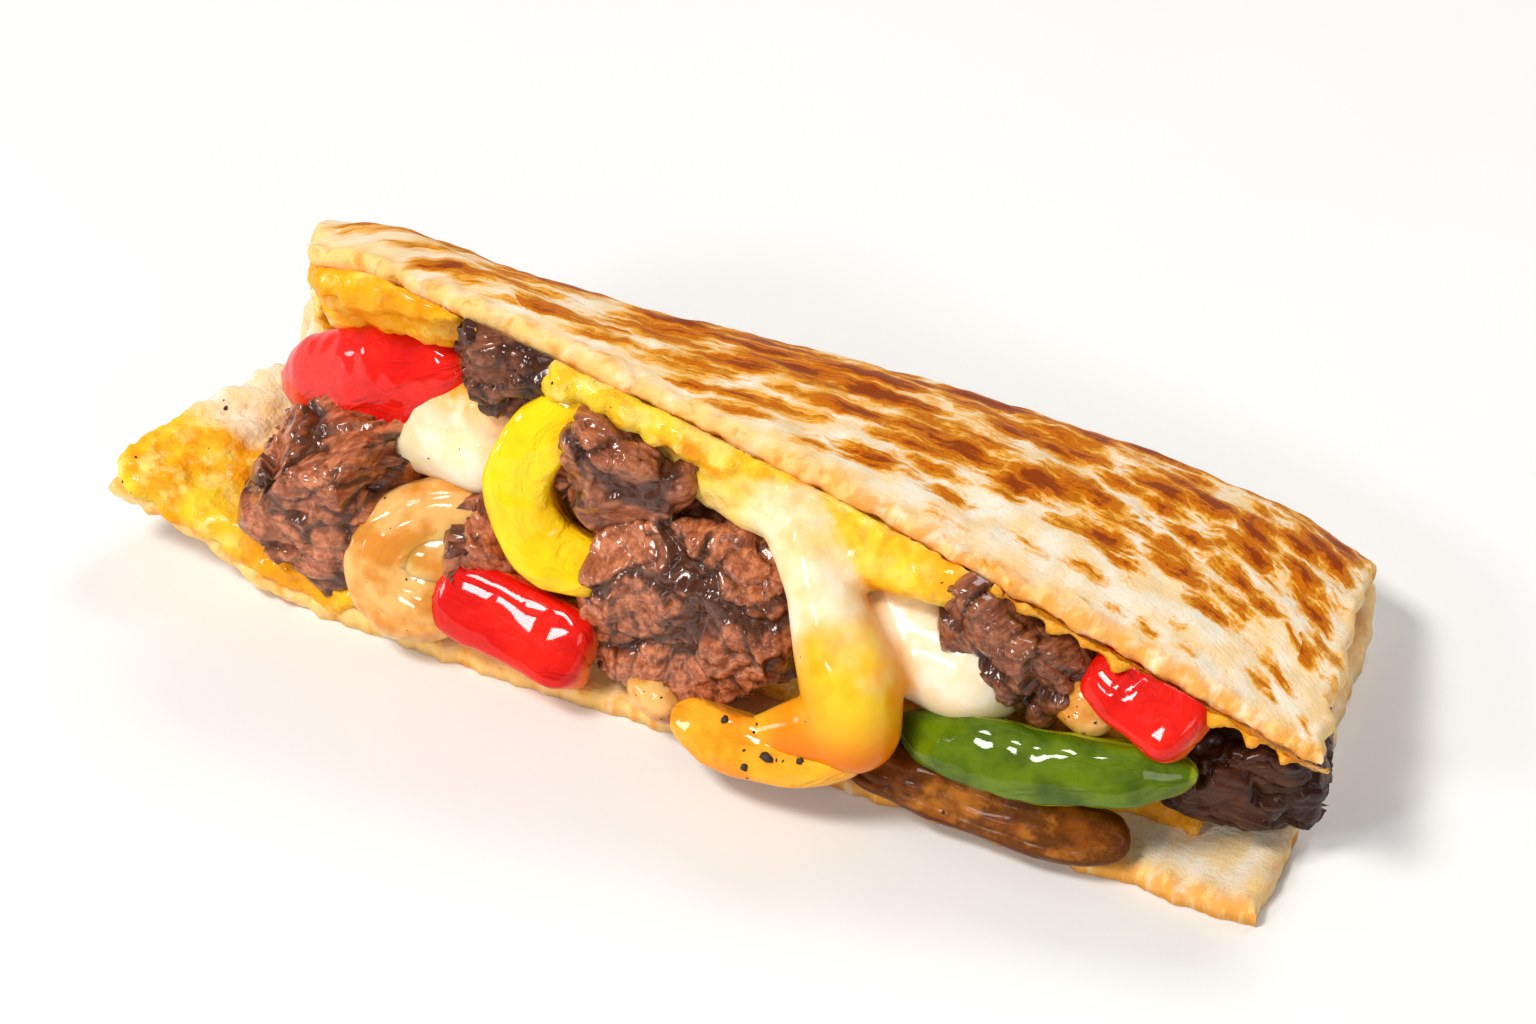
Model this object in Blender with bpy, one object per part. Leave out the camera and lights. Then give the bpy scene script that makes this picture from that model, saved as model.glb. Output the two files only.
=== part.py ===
"""A wedge of steak quesadilla: a griddled flour tortilla folded over melted cheese, steak, peppers and onion.

The wedge lies on its lower layer, with the fold at the back and the cut open at the front.
Lengths are in millimetres until a mesh is made. In the wedge's own frame x runs along the cut from
its left tip, y runs back to the fold, and z is the height above the surface it rests on.
"""

import math

import bmesh
import bpy
import numpy as np
from mathutils import Euler, Matrix, Vector, noise

MM = 0.001

# The folded tortilla. LEFT and RIGHT are the two open ends of the wedge.
SHEET_THICK = 2.6
FOLD_RADIUS = 5.0
# How far back the fold lies, at equal steps from the left end to the right.
FOLD_DEPTHS = (27.0, 33.0, 36.0, 39.0, 42.5, 46.0, 48.5, 50.0, 50.4, 50.0, 46.0)
LOWER_LEFT_X, LOWER_RIGHT_X = -2.6, 131.0
FOLD_LEFT_X, FOLD_RIGHT_X = 6.5, 126.0
UPPER_LEFT_X, UPPER_RIGHT_X = 19.0, 135.0
UPPER_LEFT_SETBACK, UPPER_RIGHT_SETBACK = 10.0, 6.0
UPPER_LEFT_HEIGHT, UPPER_RIGHT_HEIGHT = 43.0, 19.0
UPPER_CROWN = 2.6
CORNER_DROOP, CORNER_SHARE = 2.0, 0.08
UPPER_SLOPE_DEG = 11.0
# How far the upper layer keeps rising from the fold, and how far it runs straight at its cut edge.
FOLD_RISE_SHARE, EDGE_RUN_SHARE = 0.62, 0.50
TIP_CURL_HEIGHT, TIP_CURL_SHARE = 7.6, 0.19
EDGE_RAGGEDNESS = 0.9
BLISTER_HEIGHT = 0.35
SHEET_STATIONS, SHEET_STEPS = 32, 21
# Shares of the way round the section, from the lower cut edge to the upper one.
FLAT_ENDS, FOLD_ENDS = 0.34, 0.46

# Pieces that touch keep this gap. A cutter's own facets need a little more room than that.
GAP, CUTTER_MARGIN = 0.3, 0.15

# The wedge's own frame is moved so that the origin is under the middle of its box.
BOX_MIDDLE_X, BOX_MIDDLE_Y = 66.5, 21.9

# Steak: centre, size along its own x, y and z, turn in degrees, and a seed for its crags.
STEAKS = {
    "steak_left": ((23.4, 6.2, 12.8), (20.5, 14.0, 18.0), (4, -12, 8), 1),
    "steak_large": ((66.0, 7.2, 14.4), (23.5, 14.5, 22.6), (-6, 8, -4), 2),
    "steak_middle": ((56.3, 9.0, 26.6), (14.6, 11.0, 15.0), (10, 20, 12), 3),
    "steak_upper": ((43.2, 11.0, 35.2), (13.4, 9.0, 10.6), (0, 18, 10), 4),
    "steak_slanted": ((100.4, 8.2, 21.8), (17.5, 9.5, 9.0), (0, 33, -6), 5),
    "steak_inner": ((42.2, 6.2, 13.0), (10.0, 9.0, 10.0), (15, 10, 30), 6),
    "steak_right": ((123.0, 14.0, 9.0), (17.0, 14.0, 11.0), (0, -8, 20), 7),
}
STEAK_CUTS, STEAK_SQUARENESS, STEAK_RELIEF, STEAK_CUTTER_SHARE = 4, 3.4, 1.2, 0.85

# Strips of pepper and petals of onion: the route of the middle line, width across the skin, thickness,
# how far the edges curl back from the skin side, and how blunt the ends are.
STRIPS = {
    "red_pepper_left": (((10.4, 16.4, 16.6), (23.4, 12.0, 24.6), (36.0, 11.6, 31.9)), 11.4, 6.0, 1.6, 2.4),
    "yellow_pepper_ring": (
        ((61.0, 11.0, 34.8), (50.8, 7.8, 32.6), (46.0, 4.6, 24.8), (49.4, 2.8, 18.0), (57.5, 3.0, 16.8)),
        7.4,
        5.2,
        0.8,
        7.0,
    ),
    "onion_ring": (
        ((43.5, 6.5, 15.8), (35.5, 4.5, 15.2), (31.2, 1.2, 11.4), (34.0, -0.4, 8.2), (41.0, -0.2, 8.4)),
        9.4,
        5.2,
        1.0,
        5.0,
    ),
    "red_pepper_middle": (((37.5, 1.0, 10.2), (47.0, 0.2, 8.8), (56.5, -1.0, 7.4)), 9.2, 6.0, 0.8, 7.0),
    "yellow_pepper_front": (
        ((67.5, -2.8, 7.4), (72.2, -4.4, 7.0), (79.9, -5.0, 7.4), (86.4, -4.0, 9.8), (89.2, -2.4, 13.8)),
        6.4,
        5.4,
        0.6,
        5.0,
    ),
    "green_pepper_right": (
        ((89.6, 2.2, 9.6), (99.6, 0.4, 11.4), (111.0, 0.6, 13.0), (122.6, 3.4, 14.6)),
        7.6,
        5.2,
        1.2,
        2.6,
    ),
    "red_pepper_right": (((109.0, 9.0, 23.4), (115.3, 7.0, 20.6), (121.6, 4.6, 18.4)), 9.0, 5.5, 1.0, 7.0),
    "red_pepper_end": (((118.0, 38.5, 7.8), (121.5, 32.0, 8.0), (122.5, 26.0, 8.2)), 6.8, 4.6, 0.8, 4.0),
    "green_pepper_back": (((8.5, 25.5, 13.0), (13.0, 25.2, 14.8), (18.0, 24.5, 16.4)), 5.6, 4.0, 0.8, 4.0),
    "onion_petal_front": (((60.4, 1.4, 6.2), (63.4, -0.4, 5.8), (66.8, -2.4, 6.0)), 4.8, 4.2, 0.6, 2.6),
    "onion_petal_inner": (((105.2, 8.6, 15.6), (109.2, 5.6, 17.4), (113.0, 5.2, 17.0)), 5.6, 5.0, 0.6, 3.0),
    "onion_strip_right": (
        ((84.5, 0.6, 6.2), (95.0, -0.6, 5.6), (107.0, -0.8, 5.2), (117.0, 0.8, 5.4)),
        6.2,
        4.4,
        0.8,
        4.0,
    ),
}
STRIP_SIDES, STRIP_RING_SPACING, STRIP_SQUARENESS = 8, 2.6, 2.5
STRIP_SKIN_SIDE = Vector((0.15, -0.80, 0.58))

# Melted cheese. A strand is a start, an end and the radius at each.
# The filling stands back from the cut by this much, and further at its left end.
CHEESE_RECESS, LEFT_RECESS, RECESS_EASE_SHARE = 3.0, 8.0, 0.15
CORE_LEFT_SHARE, CORE_RIGHT_SHARE = 0.11, 0.93
CORE_LOW_SHARE, CORE_HIGH_SHARE = 0.03, 0.93
CHEESE_STRANDS = (
    ((50.0, 11.5, 34.6), (63.3, 10.5, 29.6), 2.8, 3.8),
    ((63.3, 10.5, 29.6), (76.9, 8.0, 28.6), 3.8, 4.2),
    ((76.9, 7.6, 28.4), (80.9, 3.2, 23.9), 4.2, 3.6),
    ((80.9, 3.2, 23.9), (86.3, -0.8, 17.3), 3.6, 5.4),
    ((86.3, -0.8, 17.3), (87.6, -2.8, 12.8), 5.4, 4.9),
    ((87.4, -2.6, 12.6), (80.0, -3.6, 9.6), 4.8, 2.6),
    ((80.2, 8.5, 26.4), (94.1, 8.5, 26.6), 3.8, 3.0),
    ((87.4, 8.2, 17.2), (96.6, 6.8, 15.9), 6.9, 6.0),
    ((30.5, 11.6, 20.0), (39.5, 9.4, 22.0), 4.4, 4.4),
    ((32.5, 12.0, 24.4), (40.5, 11.0, 27.4), 4.0, 3.8),
    ((21.0, 14.2, 36.2), (33.0, 13.6, 36.6), 4.2, 4.2),
    ((20.6, 17.6, 30.2), (28.0, 17.6, 31.6), 4.0, 3.6),
    ((16.0, 6.0, 4.4), (30.0, 5.0, 4.4), 2.4, 2.6),
    ((36.0, 5.0, 5.0), (58.0, 6.0, 5.0), 3.0, 3.0),
    ((90.0, 6.0, 5.4), (112.0, 8.0, 5.0), 3.4, 2.6),
)
RIM_BEAD_SPACING, RIM_BEAD_SMALL, RIM_BEAD_LARGE = 3.8, 1.9, 3.0
RIM_BEAD_SEED = 11
RIM_LEFT_SHARE, RIM_RIGHT_SHARE, RIM_ROUND_SHARE = 0.02, 0.97, 0.985
# Towards the right end the beads shrink to a share of their size, from one place on and over a run.
RIM_SHRUNK_SHARE, RIM_SHRINK_START, RIM_SHRINK_RUN = 0.62, 0.525, 0.35
LINING_THICK = 3.6
LINING_LEFT_SHARE, LINING_RIGHT_SHARE = 0.006, 0.24
LINING_LOW_SHARE, LINING_HIGH_SHARE = 0.008, 0.975
# The cheese starts a little inside the dough, which then cuts it back.
SKIN_DEPTH = SHEET_THICK / 2 - 0.2
CHEESE_VOXEL, CHEESE_SMOOTHING, CHEESE_TRIANGLES = 1.1, 4, 1900

# Colours are linear red, green and blue.
TORTILLA_COLOUR = (0.72, 0.46, 0.20)
CHEESE_COLOUR = (0.90, 0.56, 0.12)
STEAK_COLOUR = (0.085, 0.028, 0.015)
RED_COLOUR = (0.60, 0.012, 0.008)
YELLOW_COLOUR = (0.85, 0.36, 0.010)
GREEN_COLOUR = (0.045, 0.16, 0.012)
ONION_COLOUR = (0.62, 0.36, 0.12)


def mix(a, b, share):
    return a + (b - a) * share


def ease(share):
    """0 below 0, 1 above 1 and a smooth step between."""
    share = min(1.0, max(0.0, share))
    return share * share * (3 - 2 * share)


def bezier(points, t):
    a, b, c, d = points
    s = 1 - t
    return a * s**3 + b * 3 * s * s * t + c * 3 * s * t * t + d * t**3


def wobble(x, y, z, wavelength):
    """Smooth noise from -1 to 1 that changes over about a wavelength."""
    return noise.noise(Vector((x, y, z)) / wavelength)


def smooth_table(values, u):
    """A value at u along an evenly spaced row of them, on a smooth curve through them all."""
    place = min(1, max(0, u)) * (len(values) - 1)
    n = min(int(place), len(values) - 2)
    t = place - n
    b, c = values[n], values[n + 1]
    a = values[n - 1] if n else 2 * b - c
    d = values[n + 2] if n + 2 < len(values) else 2 * c - b
    return 0.5 * (2 * b + (c - a) * t + (2 * a - 5 * b + 4 * c - d) * t * t + (3 * b - a - 3 * c + d) * t**3)


def span_of_x(v):
    """Left and right ends of the sheet, v of the way round its section."""
    if v < FOLD_ENDS:
        share = ease(v / FOLD_ENDS)
        return mix(LOWER_LEFT_X, FOLD_LEFT_X, share), mix(LOWER_RIGHT_X, FOLD_RIGHT_X, share)
    share = (v - FOLD_ENDS) / (1 - FOLD_ENDS)
    return mix(FOLD_LEFT_X, UPPER_LEFT_X, share), mix(FOLD_RIGHT_X, UPPER_RIGHT_X, share**2)


def upper_edge(u):
    """Setback and height of the upper layer's cut edge."""
    height = mix(UPPER_LEFT_HEIGHT, UPPER_RIGHT_HEIGHT, u) + UPPER_CROWN * math.sin(math.pi * u)
    height -= CORNER_DROOP * ease(1 - u / CORNER_SHARE)
    return Vector((mix(UPPER_LEFT_SETBACK, UPPER_RIGHT_SETBACK, u), height))


def section_point(u, v):
    """y and z on the middle of the sheet: along the bottom, round the fold and up to the cut edge."""
    depth = smooth_table(FOLD_DEPTHS, u)
    floor = SHEET_THICK / 2 + TIP_CURL_HEIGHT * ease(1 - u / TIP_CURL_SHARE)
    flat_depth = depth - FOLD_RADIUS
    if v < FLAT_ENDS:
        return flat_depth * v / FLAT_ENDS, floor
    if v < FOLD_ENDS:
        angle = (v - FLAT_ENDS) / (FOLD_ENDS - FLAT_ENDS) * math.pi / 2
        y = flat_depth + FOLD_RADIUS * math.sin(angle)
        return y, floor + FOLD_RADIUS * (1 - math.cos(angle))
    start = Vector((depth, floor + FOLD_RADIUS))
    end = upper_edge(u)
    reach = start.x - end.x
    rise = end.y - start.y
    leaving = start + Vector((0, rise * FOLD_RISE_SHARE))
    run = reach * EDGE_RUN_SHARE
    arriving = end + Vector((run, -run * math.tan(math.radians(UPPER_SLOPE_DEG))))
    t = (v - FOLD_ENDS) / (1 - FOLD_ENDS)
    return tuple(bezier((start, leaving, arriving, end), t))


def sheet_point(u, v):
    left, right = span_of_x(v)
    y, z = section_point(u, v)
    return Vector((mix(left, right, u), y, z))


def sheet_normal(u, v):
    """Unit normal that points out of the folded sheet, away from the filling."""
    step = 1e-3
    along = sheet_point(min(1, u + step), v) - sheet_point(max(0, u - step), v)
    around = sheet_point(u, min(1, v + step)) - sheet_point(u, max(0, v - step))
    return around.cross(along).normalized()


def blisters(point):
    """Low swellings where the griddle lifted the dough."""
    swelling = wobble(point.x * 0.45, point.y, point.z, 5.0) + 0.5 * wobble(point.x, point.y, point.z, 2.6)
    return BLISTER_HEIGHT * swelling


def raggedness(u, v, point):
    """How far the torn, cheesy rim moves in the sheet's plane, largest at the cut edges."""
    nearest = min(u / 0.03, (1 - u) / 0.03, v / 0.05, (1 - v) / 0.05)
    return EDGE_RAGGEDNESS * ease(1 - nearest) * wobble(point.x, point.y, point.z + 40, 3.2)


def sheet_mesh(grow=0.0, stations=SHEET_STATIONS, steps=SHEET_STEPS):
    """The folded sheet as a closed mesh. grow adds that much on every side, for cutting its neighbours."""
    half = SHEET_THICK / 2 + grow
    margin = 0.012 if grow else 0.0
    shell = bmesh.new()
    rows = {1: [], -1: []}
    for i in range(stations + 1):
        u = mix(-margin, 1 + margin, i / stations)
        for side, row in rows.items():
            line = []
            for j in range(steps + 1):
                v = mix(-margin, 1 + margin, j / steps)
                u_in, v_in = min(1, max(0, u)), min(1, max(0, v))
                middle = sheet_point(u_in, v_in)
                normal = sheet_normal(u_in, v_in)
                edge = sheet_point(u, v) - middle if grow else Vector()
                upper = ease((v_in - FOLD_ENDS) / 0.1)
                lift = 0.0 if grow else upper * blisters(middle) * (1 if side > 0 else 0.3)
                ragged = 0.0 if grow else raggedness(u_in, v_in, middle)
                point = middle + edge + normal * (side * (half + lift)) + Vector((ragged, ragged, 0))
                if side > 0 and v_in < FLAT_ENDS and u_in > TIP_CURL_SHARE:
                    point.z = -grow
                line.append(shell.verts.new(point * MM))
            row.append(line)
    for i in range(stations):
        for j in range(steps):
            for row in rows.values():
                shell.faces.new((row[i][j], row[i + 1][j], row[i + 1][j + 1], row[i][j + 1]))
    outside, inside = rows[1], rows[-1]
    rim = [(0, j) for j in range(steps)]
    rim += [(i, steps) for i in range(stations)]
    rim += [(stations, j) for j in range(steps, 0, -1)]
    rim += [(i, 0) for i in range(stations, 0, -1)]
    for here, there in zip(rim, rim[1:] + rim[:1]):
        corners = [outside[here[0]][here[1]], outside[there[0]][there[1]]]
        corners += [inside[there[0]][there[1]], inside[here[0]][here[1]]]
        shell.faces.new(corners)
    return mesh_from(shell, "folded_sheet")


def mesh_from(shell, name):
    """Closes a bmesh into a mesh of triangles whose faces point out."""
    bmesh.ops.triangulate(shell, faces=shell.faces[:])
    bmesh.ops.recalc_face_normals(shell, faces=shell.faces[:])
    mesh = bpy.data.meshes.new(name)
    shell.to_mesh(mesh)
    shell.free()
    return mesh


def chunk_mesh(size, seed, grow=0.0, cuts=STEAK_CUTS):
    """A rounded block of meat about its own centre. A cutter has no crags, and is larger by their height."""
    shell = bmesh.new()
    bmesh.ops.create_cube(shell, size=2)
    bmesh.ops.subdivide_edges(shell, edges=shell.edges[:], cuts=cuts, use_grid_fill=True)
    half = Vector(size) / 2
    for vertex in shell.verts:
        point = vertex.co.copy()
        length = sum(abs(c) ** STEAK_SQUARENESS for c in point) ** (1 / STEAK_SQUARENESS)
        direction = point / length
        place = Vector((direction.x * half.x, direction.y * half.y, direction.z * half.z))
        outward = place.normalized()
        if grow:
            place += outward * (grow + STEAK_RELIEF * STEAK_CUTTER_SHARE)
        else:
            lump = wobble(place.x + 31 * seed, place.y, place.z, 7.0)
            crag = abs(wobble(place.x, place.y + 17 * seed, place.z, 3.4))
            place += outward * STEAK_RELIEF * (0.8 * lump - 1.3 * crag)
        vertex.co = place * MM
    return mesh_from(shell, "chunk")


def curve_through(points, count):
    """Evenly spaced points on a smooth curve through a few points."""
    knots = [Vector(p) for p in points]
    if len(knots) == 2:
        knots.insert(1, (knots[0] + knots[1]) / 2)
    ends = [2 * knots[0] - knots[1]] + knots + [2 * knots[-1] - knots[-2]]
    fine = []
    for a, b, c, d in zip(ends, ends[1:], ends[2:], ends[3:]):
        for k in range(16):
            t = k / 16
            fine.append(0.5 * (2 * b + (c - a) * t + (2 * a - 5 * b + 4 * c - d) * t * t + (3 * b - a - 3 * c + d) * t**3))
    fine.append(knots[-1])
    reached = [0.0]
    for here, there in zip(fine, fine[1:]):
        reached.append(reached[-1] + (there - here).length)
    spaced = []
    for k in range(count):
        goal = reached[-1] * k / (count - 1)
        n = min(max(1, int(np.searchsorted(reached, goal))), len(fine) - 1)
        share = (goal - reached[n - 1]) / max(1e-9, reached[n] - reached[n - 1])
        spaced.append(fine[n - 1].lerp(fine[n], share))
    return spaced, reached[-1]


def strip_mesh(route, width, thick, curl, bluntness, grow=0.0):
    """A strip of pepper or onion: a flattened round section swept along its route, tapered to both ends."""
    _, length = curve_through(route, 2)
    rings = max(6, round(length / STRIP_RING_SPACING))
    line, _ = curve_through(route, rings + 1)
    shell = bmesh.new()
    hoops = []
    for n, middle in enumerate(line):
        before, after = line[max(0, n - 1)], line[min(rings, n + 1)]
        along = (after - before).normalized()
        out = (STRIP_SKIN_SIDE - STRIP_SKIN_SIDE.dot(along) * along).normalized()
        across = along.cross(out)
        from_middle = abs(2 * n / rings - 1)
        end_share = 0.42 if n in (0, rings) else 1.0
        taper = max(0.30, (1 - min(0.96, from_middle) ** bluntness) ** 0.5) * end_share
        reach = grow * (1 if n == rings else -1 if n == 0 else 0)
        hoop = []
        for k in range(STRIP_SIDES):
            angle = 2 * math.pi * (k + 0.5) / STRIP_SIDES
            c, s = math.cos(angle), math.sin(angle)
            side = abs(c) ** (2 / STRIP_SQUARENESS) * math.copysign(1, c)
            front = abs(s) ** (2 / STRIP_SQUARENESS) * math.copysign(1, s)
            offset = across * side * (width / 2 * taper + grow)
            offset += out * (front * (thick / 2 * taper + grow) - curl * side * side)
            hoop.append(shell.verts.new((middle + along * reach + offset) * MM))
        hoops.append(hoop)
    for here, there in zip(hoops, hoops[1:]):
        for k in range(STRIP_SIDES):
            m = (k + 1) % STRIP_SIDES
            shell.faces.new((here[k], here[m], there[m], there[k]))
    shell.faces.new(hoops[0])
    shell.faces.new(hoops[-1])
    return mesh_from(shell, "strip")


def add_strand(shell, start, end, start_radius, end_radius):
    """A strand of molten cheese: balls strung closely enough to fuse."""
    start, end = Vector(start), Vector(end)
    count = max(2, math.ceil((end - start).length / (0.5 * min(start_radius, end_radius))) + 1)
    for k in range(count):
        share = k / (count - 1)
        place = Matrix.Translation(start.lerp(end, share) * MM)
        radius = mix(start_radius, end_radius, share) * MM
        bmesh.ops.create_icosphere(shell, subdivisions=2, radius=radius, matrix=place)


def add_core(shell):
    """The filling that runs through the wedge, between the two layers and back to the fold."""
    stations, steps = 24, 14
    rows = []
    for i in range(stations + 1):
        u = mix(CORE_LEFT_SHARE, CORE_RIGHT_SHARE, i / stations)
        line = []
        for j in range(steps + 1):
            v = mix(CORE_LOW_SHARE, CORE_HIGH_SHARE, j / steps)
            line.append(sheet_point(u, v) - sheet_normal(u, v) * SKIN_DEPTH)
        for end in (0, -1):
            line[end].y += mix(LEFT_RECESS, CHEESE_RECESS, ease((u - CORE_LEFT_SHARE) / RECESS_EASE_SHARE))
        rows.append([shell.verts.new(p * MM) for p in line])
    for here, there in zip(rows, rows[1:]):
        for j in range(steps):
            shell.faces.new((here[j], here[j + 1], there[j + 1], there[j]))
        shell.faces.new((here[-1], here[0], there[0], there[-1]))
    shell.faces.new(rows[0])
    shell.faces.new(rows[-1])


def add_lining(shell):
    """The cheese that coats the inner faces of both layers at the open left end."""
    stations, steps = 8, 26
    inner = []
    for depth in (SKIN_DEPTH, SHEET_THICK / 2 + LINING_THICK):
        grid = []
        for i in range(stations + 1):
            u = mix(LINING_LEFT_SHARE, LINING_RIGHT_SHARE, i / stations)
            line = []
            for j in range(steps + 1):
                v = mix(LINING_LOW_SHARE, LINING_HIGH_SHARE, j / steps)
                line.append(shell.verts.new((sheet_point(u, v) - sheet_normal(u, v) * depth) * MM))
            grid.append(line)
        inner.append(grid)
    near, far = inner
    for i in range(stations):
        for j in range(steps):
            for grid in inner:
                shell.faces.new((grid[i][j], grid[i + 1][j], grid[i + 1][j + 1], grid[i][j + 1]))
        for j in (0, steps):
            shell.faces.new((near[i][j], near[i + 1][j], far[i + 1][j], far[i][j]))
    for i in (0, stations):
        for j in range(steps):
            shell.faces.new((near[i][j], near[i][j + 1], far[i][j + 1], far[i][j]))


def add_rim_beads(shell):
    """The lumpy cheese that fried against the griddle under the upper layer's cut edge."""
    draw = np.random.default_rng(RIM_BEAD_SEED)
    length = UPPER_RIGHT_X - UPPER_LEFT_X
    count = round(length / RIM_BEAD_SPACING)
    for k in range(count):
        u = mix(RIM_LEFT_SHARE, RIM_RIGHT_SHARE, k / (count - 1))
        shrink = mix(1, RIM_SHRUNK_SHARE, ease((u - RIM_SHRINK_START) / RIM_SHRINK_RUN))
        radius = draw.uniform(RIM_BEAD_SMALL, RIM_BEAD_LARGE) * shrink
        below = SHEET_THICK / 2 + radius * 0.4
        centre = sheet_point(u, RIM_ROUND_SHARE) - sheet_normal(u, RIM_ROUND_SHARE) * below
        add_strand(shell, centre, centre + Vector((RIM_BEAD_SPACING, 1.5, 0)), radius, radius * 0.8)


def cheese_mesh():
    shell = bmesh.new()
    add_core(shell)
    add_lining(shell)
    add_rim_beads(shell)
    for start, end, start_radius, end_radius in CHEESE_STRANDS:
        add_strand(shell, start, end, start_radius, end_radius)
    return mesh_from(shell, "cheese")


def add_object(name, mesh, parent, location=(0, 0, 0), turn_deg=(0, 0, 0)):
    piece = bpy.data.objects.new(name, mesh)
    bpy.context.scene.collection.objects.link(piece)
    piece.parent = parent
    piece.location = Vector(location) * MM
    piece.rotation_euler = Euler([math.radians(a) for a in turn_deg])
    return piece


def add_cutter(name, mesh, parent, location=(0, 0, 0), turn_deg=(0, 0, 0)):
    cutter = add_object("cutter_" + name, mesh, parent, location, turn_deg)
    cutter.hide_render = True
    cutter.display_type = "WIRE"
    return cutter


def apply_modifiers(piece):
    graph = bpy.context.evaluated_depsgraph_get()
    mesh = bpy.data.meshes.new_from_object(piece.evaluated_get(graph))
    piece.modifiers.clear()
    piece.data = mesh


def world_box(piece):
    corners = [piece.matrix_world @ Vector(c) for c in piece.bound_box]
    return [(min(c[k] for c in corners), max(c[k] for c in corners)) for k in range(3)]


def boxes_meet(a, b):
    return all(low_a < high_b and low_b < high_a for (low_a, high_a), (low_b, high_b) in zip(world_box(a), world_box(b)))


def shells_of(shell):
    """The separate closed surfaces of a bmesh, as lists of faces."""
    left = set(shell.faces)
    found = []
    while left:
        reached = [left.pop()]
        for face in reached:
            for edge in face.edges:
                for beside in edge.link_faces:
                    if beside in left:
                        left.remove(beside)
                        reached.append(beside)
        found.append(reached)
    return found


def volume_of(faces):
    return sum(f.calc_center_median().dot(f.normal) * f.calc_area() for f in faces) / 3


def keep_largest_shell(piece):
    """Drops the loose scraps and sealed hollows that a cut leaves behind."""
    shell = bmesh.new()
    shell.from_mesh(piece.data)
    shells = sorted(shells_of(shell), key=volume_of)
    scraps = [face for faces in shells[:-1] for face in faces]
    bmesh.ops.delete(shell, geom=scraps, context="FACES")
    bmesh.ops.triangulate(shell, faces=shell.faces[:])
    shell.to_mesh(piece.data)
    shell.free()


def carve(piece, cutters):
    """Cuts a piece back from each neighbour that it meets."""
    bpy.context.view_layer.update()
    for cutter in cutters:
        if boxes_meet(piece, cutter):
            cut = piece.modifiers.new(cutter.name, "BOOLEAN")
            cut.operation = "DIFFERENCE"
            cut.object = cutter
            cut.solver = "MANIFOLD"
    apply_modifiers(piece)
    keep_largest_shell(piece)


def fuse_cheese(piece):
    """Melts the strands, beads and core into one skin, and thins its triangles."""
    fuse = piece.modifiers.new("melt", "REMESH")
    fuse.mode = "VOXEL"
    fuse.voxel_size = CHEESE_VOXEL * MM
    soften = piece.modifiers.new("soften", "SMOOTH")
    soften.iterations = CHEESE_SMOOTHING
    apply_modifiers(piece)
    keep_largest_shell(piece)
    thin = piece.modifiers.new("thin", "DECIMATE")
    thin.ratio = CHEESE_TRIANGLES / len(piece.data.polygons)
    apply_modifiers(piece)


def material(name, colour, roughness):
    made = bpy.data.materials.new(name)
    made.use_nodes = True
    shader = made.node_tree.nodes["Principled BSDF"]
    shader.inputs["Base Color"].default_value = (*colour, 1)
    shader.inputs["Roughness"].default_value = roughness
    shader.inputs["Metallic"].default_value = 0
    return made


def colour_of(name):
    """Colour and roughness of a strip, from the kind that its name starts with."""
    kinds = {
        "red": (RED_COLOUR, 0.22),
        "yellow": (YELLOW_COLOUR, 0.25),
        "green": (GREEN_COLOUR, 0.22),
        "onion": (ONION_COLOUR, 0.35),
    }
    return kinds[name.split("_")[0]]


def finish(piece, colour, roughness):
    piece.data.materials.clear()
    piece.data.materials.append(material(piece.name, colour, roughness))
    piece.data.shade_smooth()
    piece.data.set_sharp_from_angle(angle=math.radians(50))


def main():
    for left_over in list(bpy.data.objects):
        bpy.data.objects.remove(left_over)
    frame = bpy.data.objects.new("quesadilla", None)
    bpy.context.scene.collection.objects.link(frame)
    frame.location = (-BOX_MIDDLE_X * MM, -BOX_MIDDLE_Y * MM, 0)

    tortilla = add_object("tortilla", sheet_mesh(), frame)
    cutters = [add_cutter("tortilla", sheet_mesh(grow=GAP + CUTTER_MARGIN), frame)]
    finish(tortilla, TORTILLA_COLOUR, 0.7)

    for name, (centre, size, turn, seed) in STEAKS.items():
        steak = add_object(name, chunk_mesh(size, seed), frame, centre, turn)
        carve(steak, cutters)
        cutters.append(add_cutter(name, chunk_mesh(size, seed, grow=GAP, cuts=2), frame, centre, turn))
        finish(steak, STEAK_COLOUR, 0.45)

    for name, (route, width, thick, curl, bluntness) in STRIPS.items():
        strip = add_object(name, strip_mesh(route, width, thick, curl, bluntness), frame)
        carve(strip, cutters)
        grown = strip_mesh(route, width, thick, curl, bluntness, grow=GAP + CUTTER_MARGIN)
        cutters.append(add_cutter(name, grown, frame))
        finish(strip, *colour_of(name))

    cheese = add_object("melted_cheese", cheese_mesh(), frame)
    fuse_cheese(cheese)
    carve(cheese, cutters)
    finish(cheese, CHEESE_COLOUR, 0.35)

    for cutter in cutters:
        bpy.data.objects.remove(cutter)


main()
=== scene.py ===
"""The looks of a steak quesadilla wedge: griddled tortilla, melted cheese, seared steak, peppers and onion.

Shapes are worked out in millimetres in the wedge's own frame, as in the part's source: x runs along
the cut from its left tip, y runs back to the fold, and z is the height above the floor.
"""

import math

import bmesh
import bpy
import numpy as np
from mathutils import Euler, Matrix, Vector
from mathutils import noise as point_noise


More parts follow.
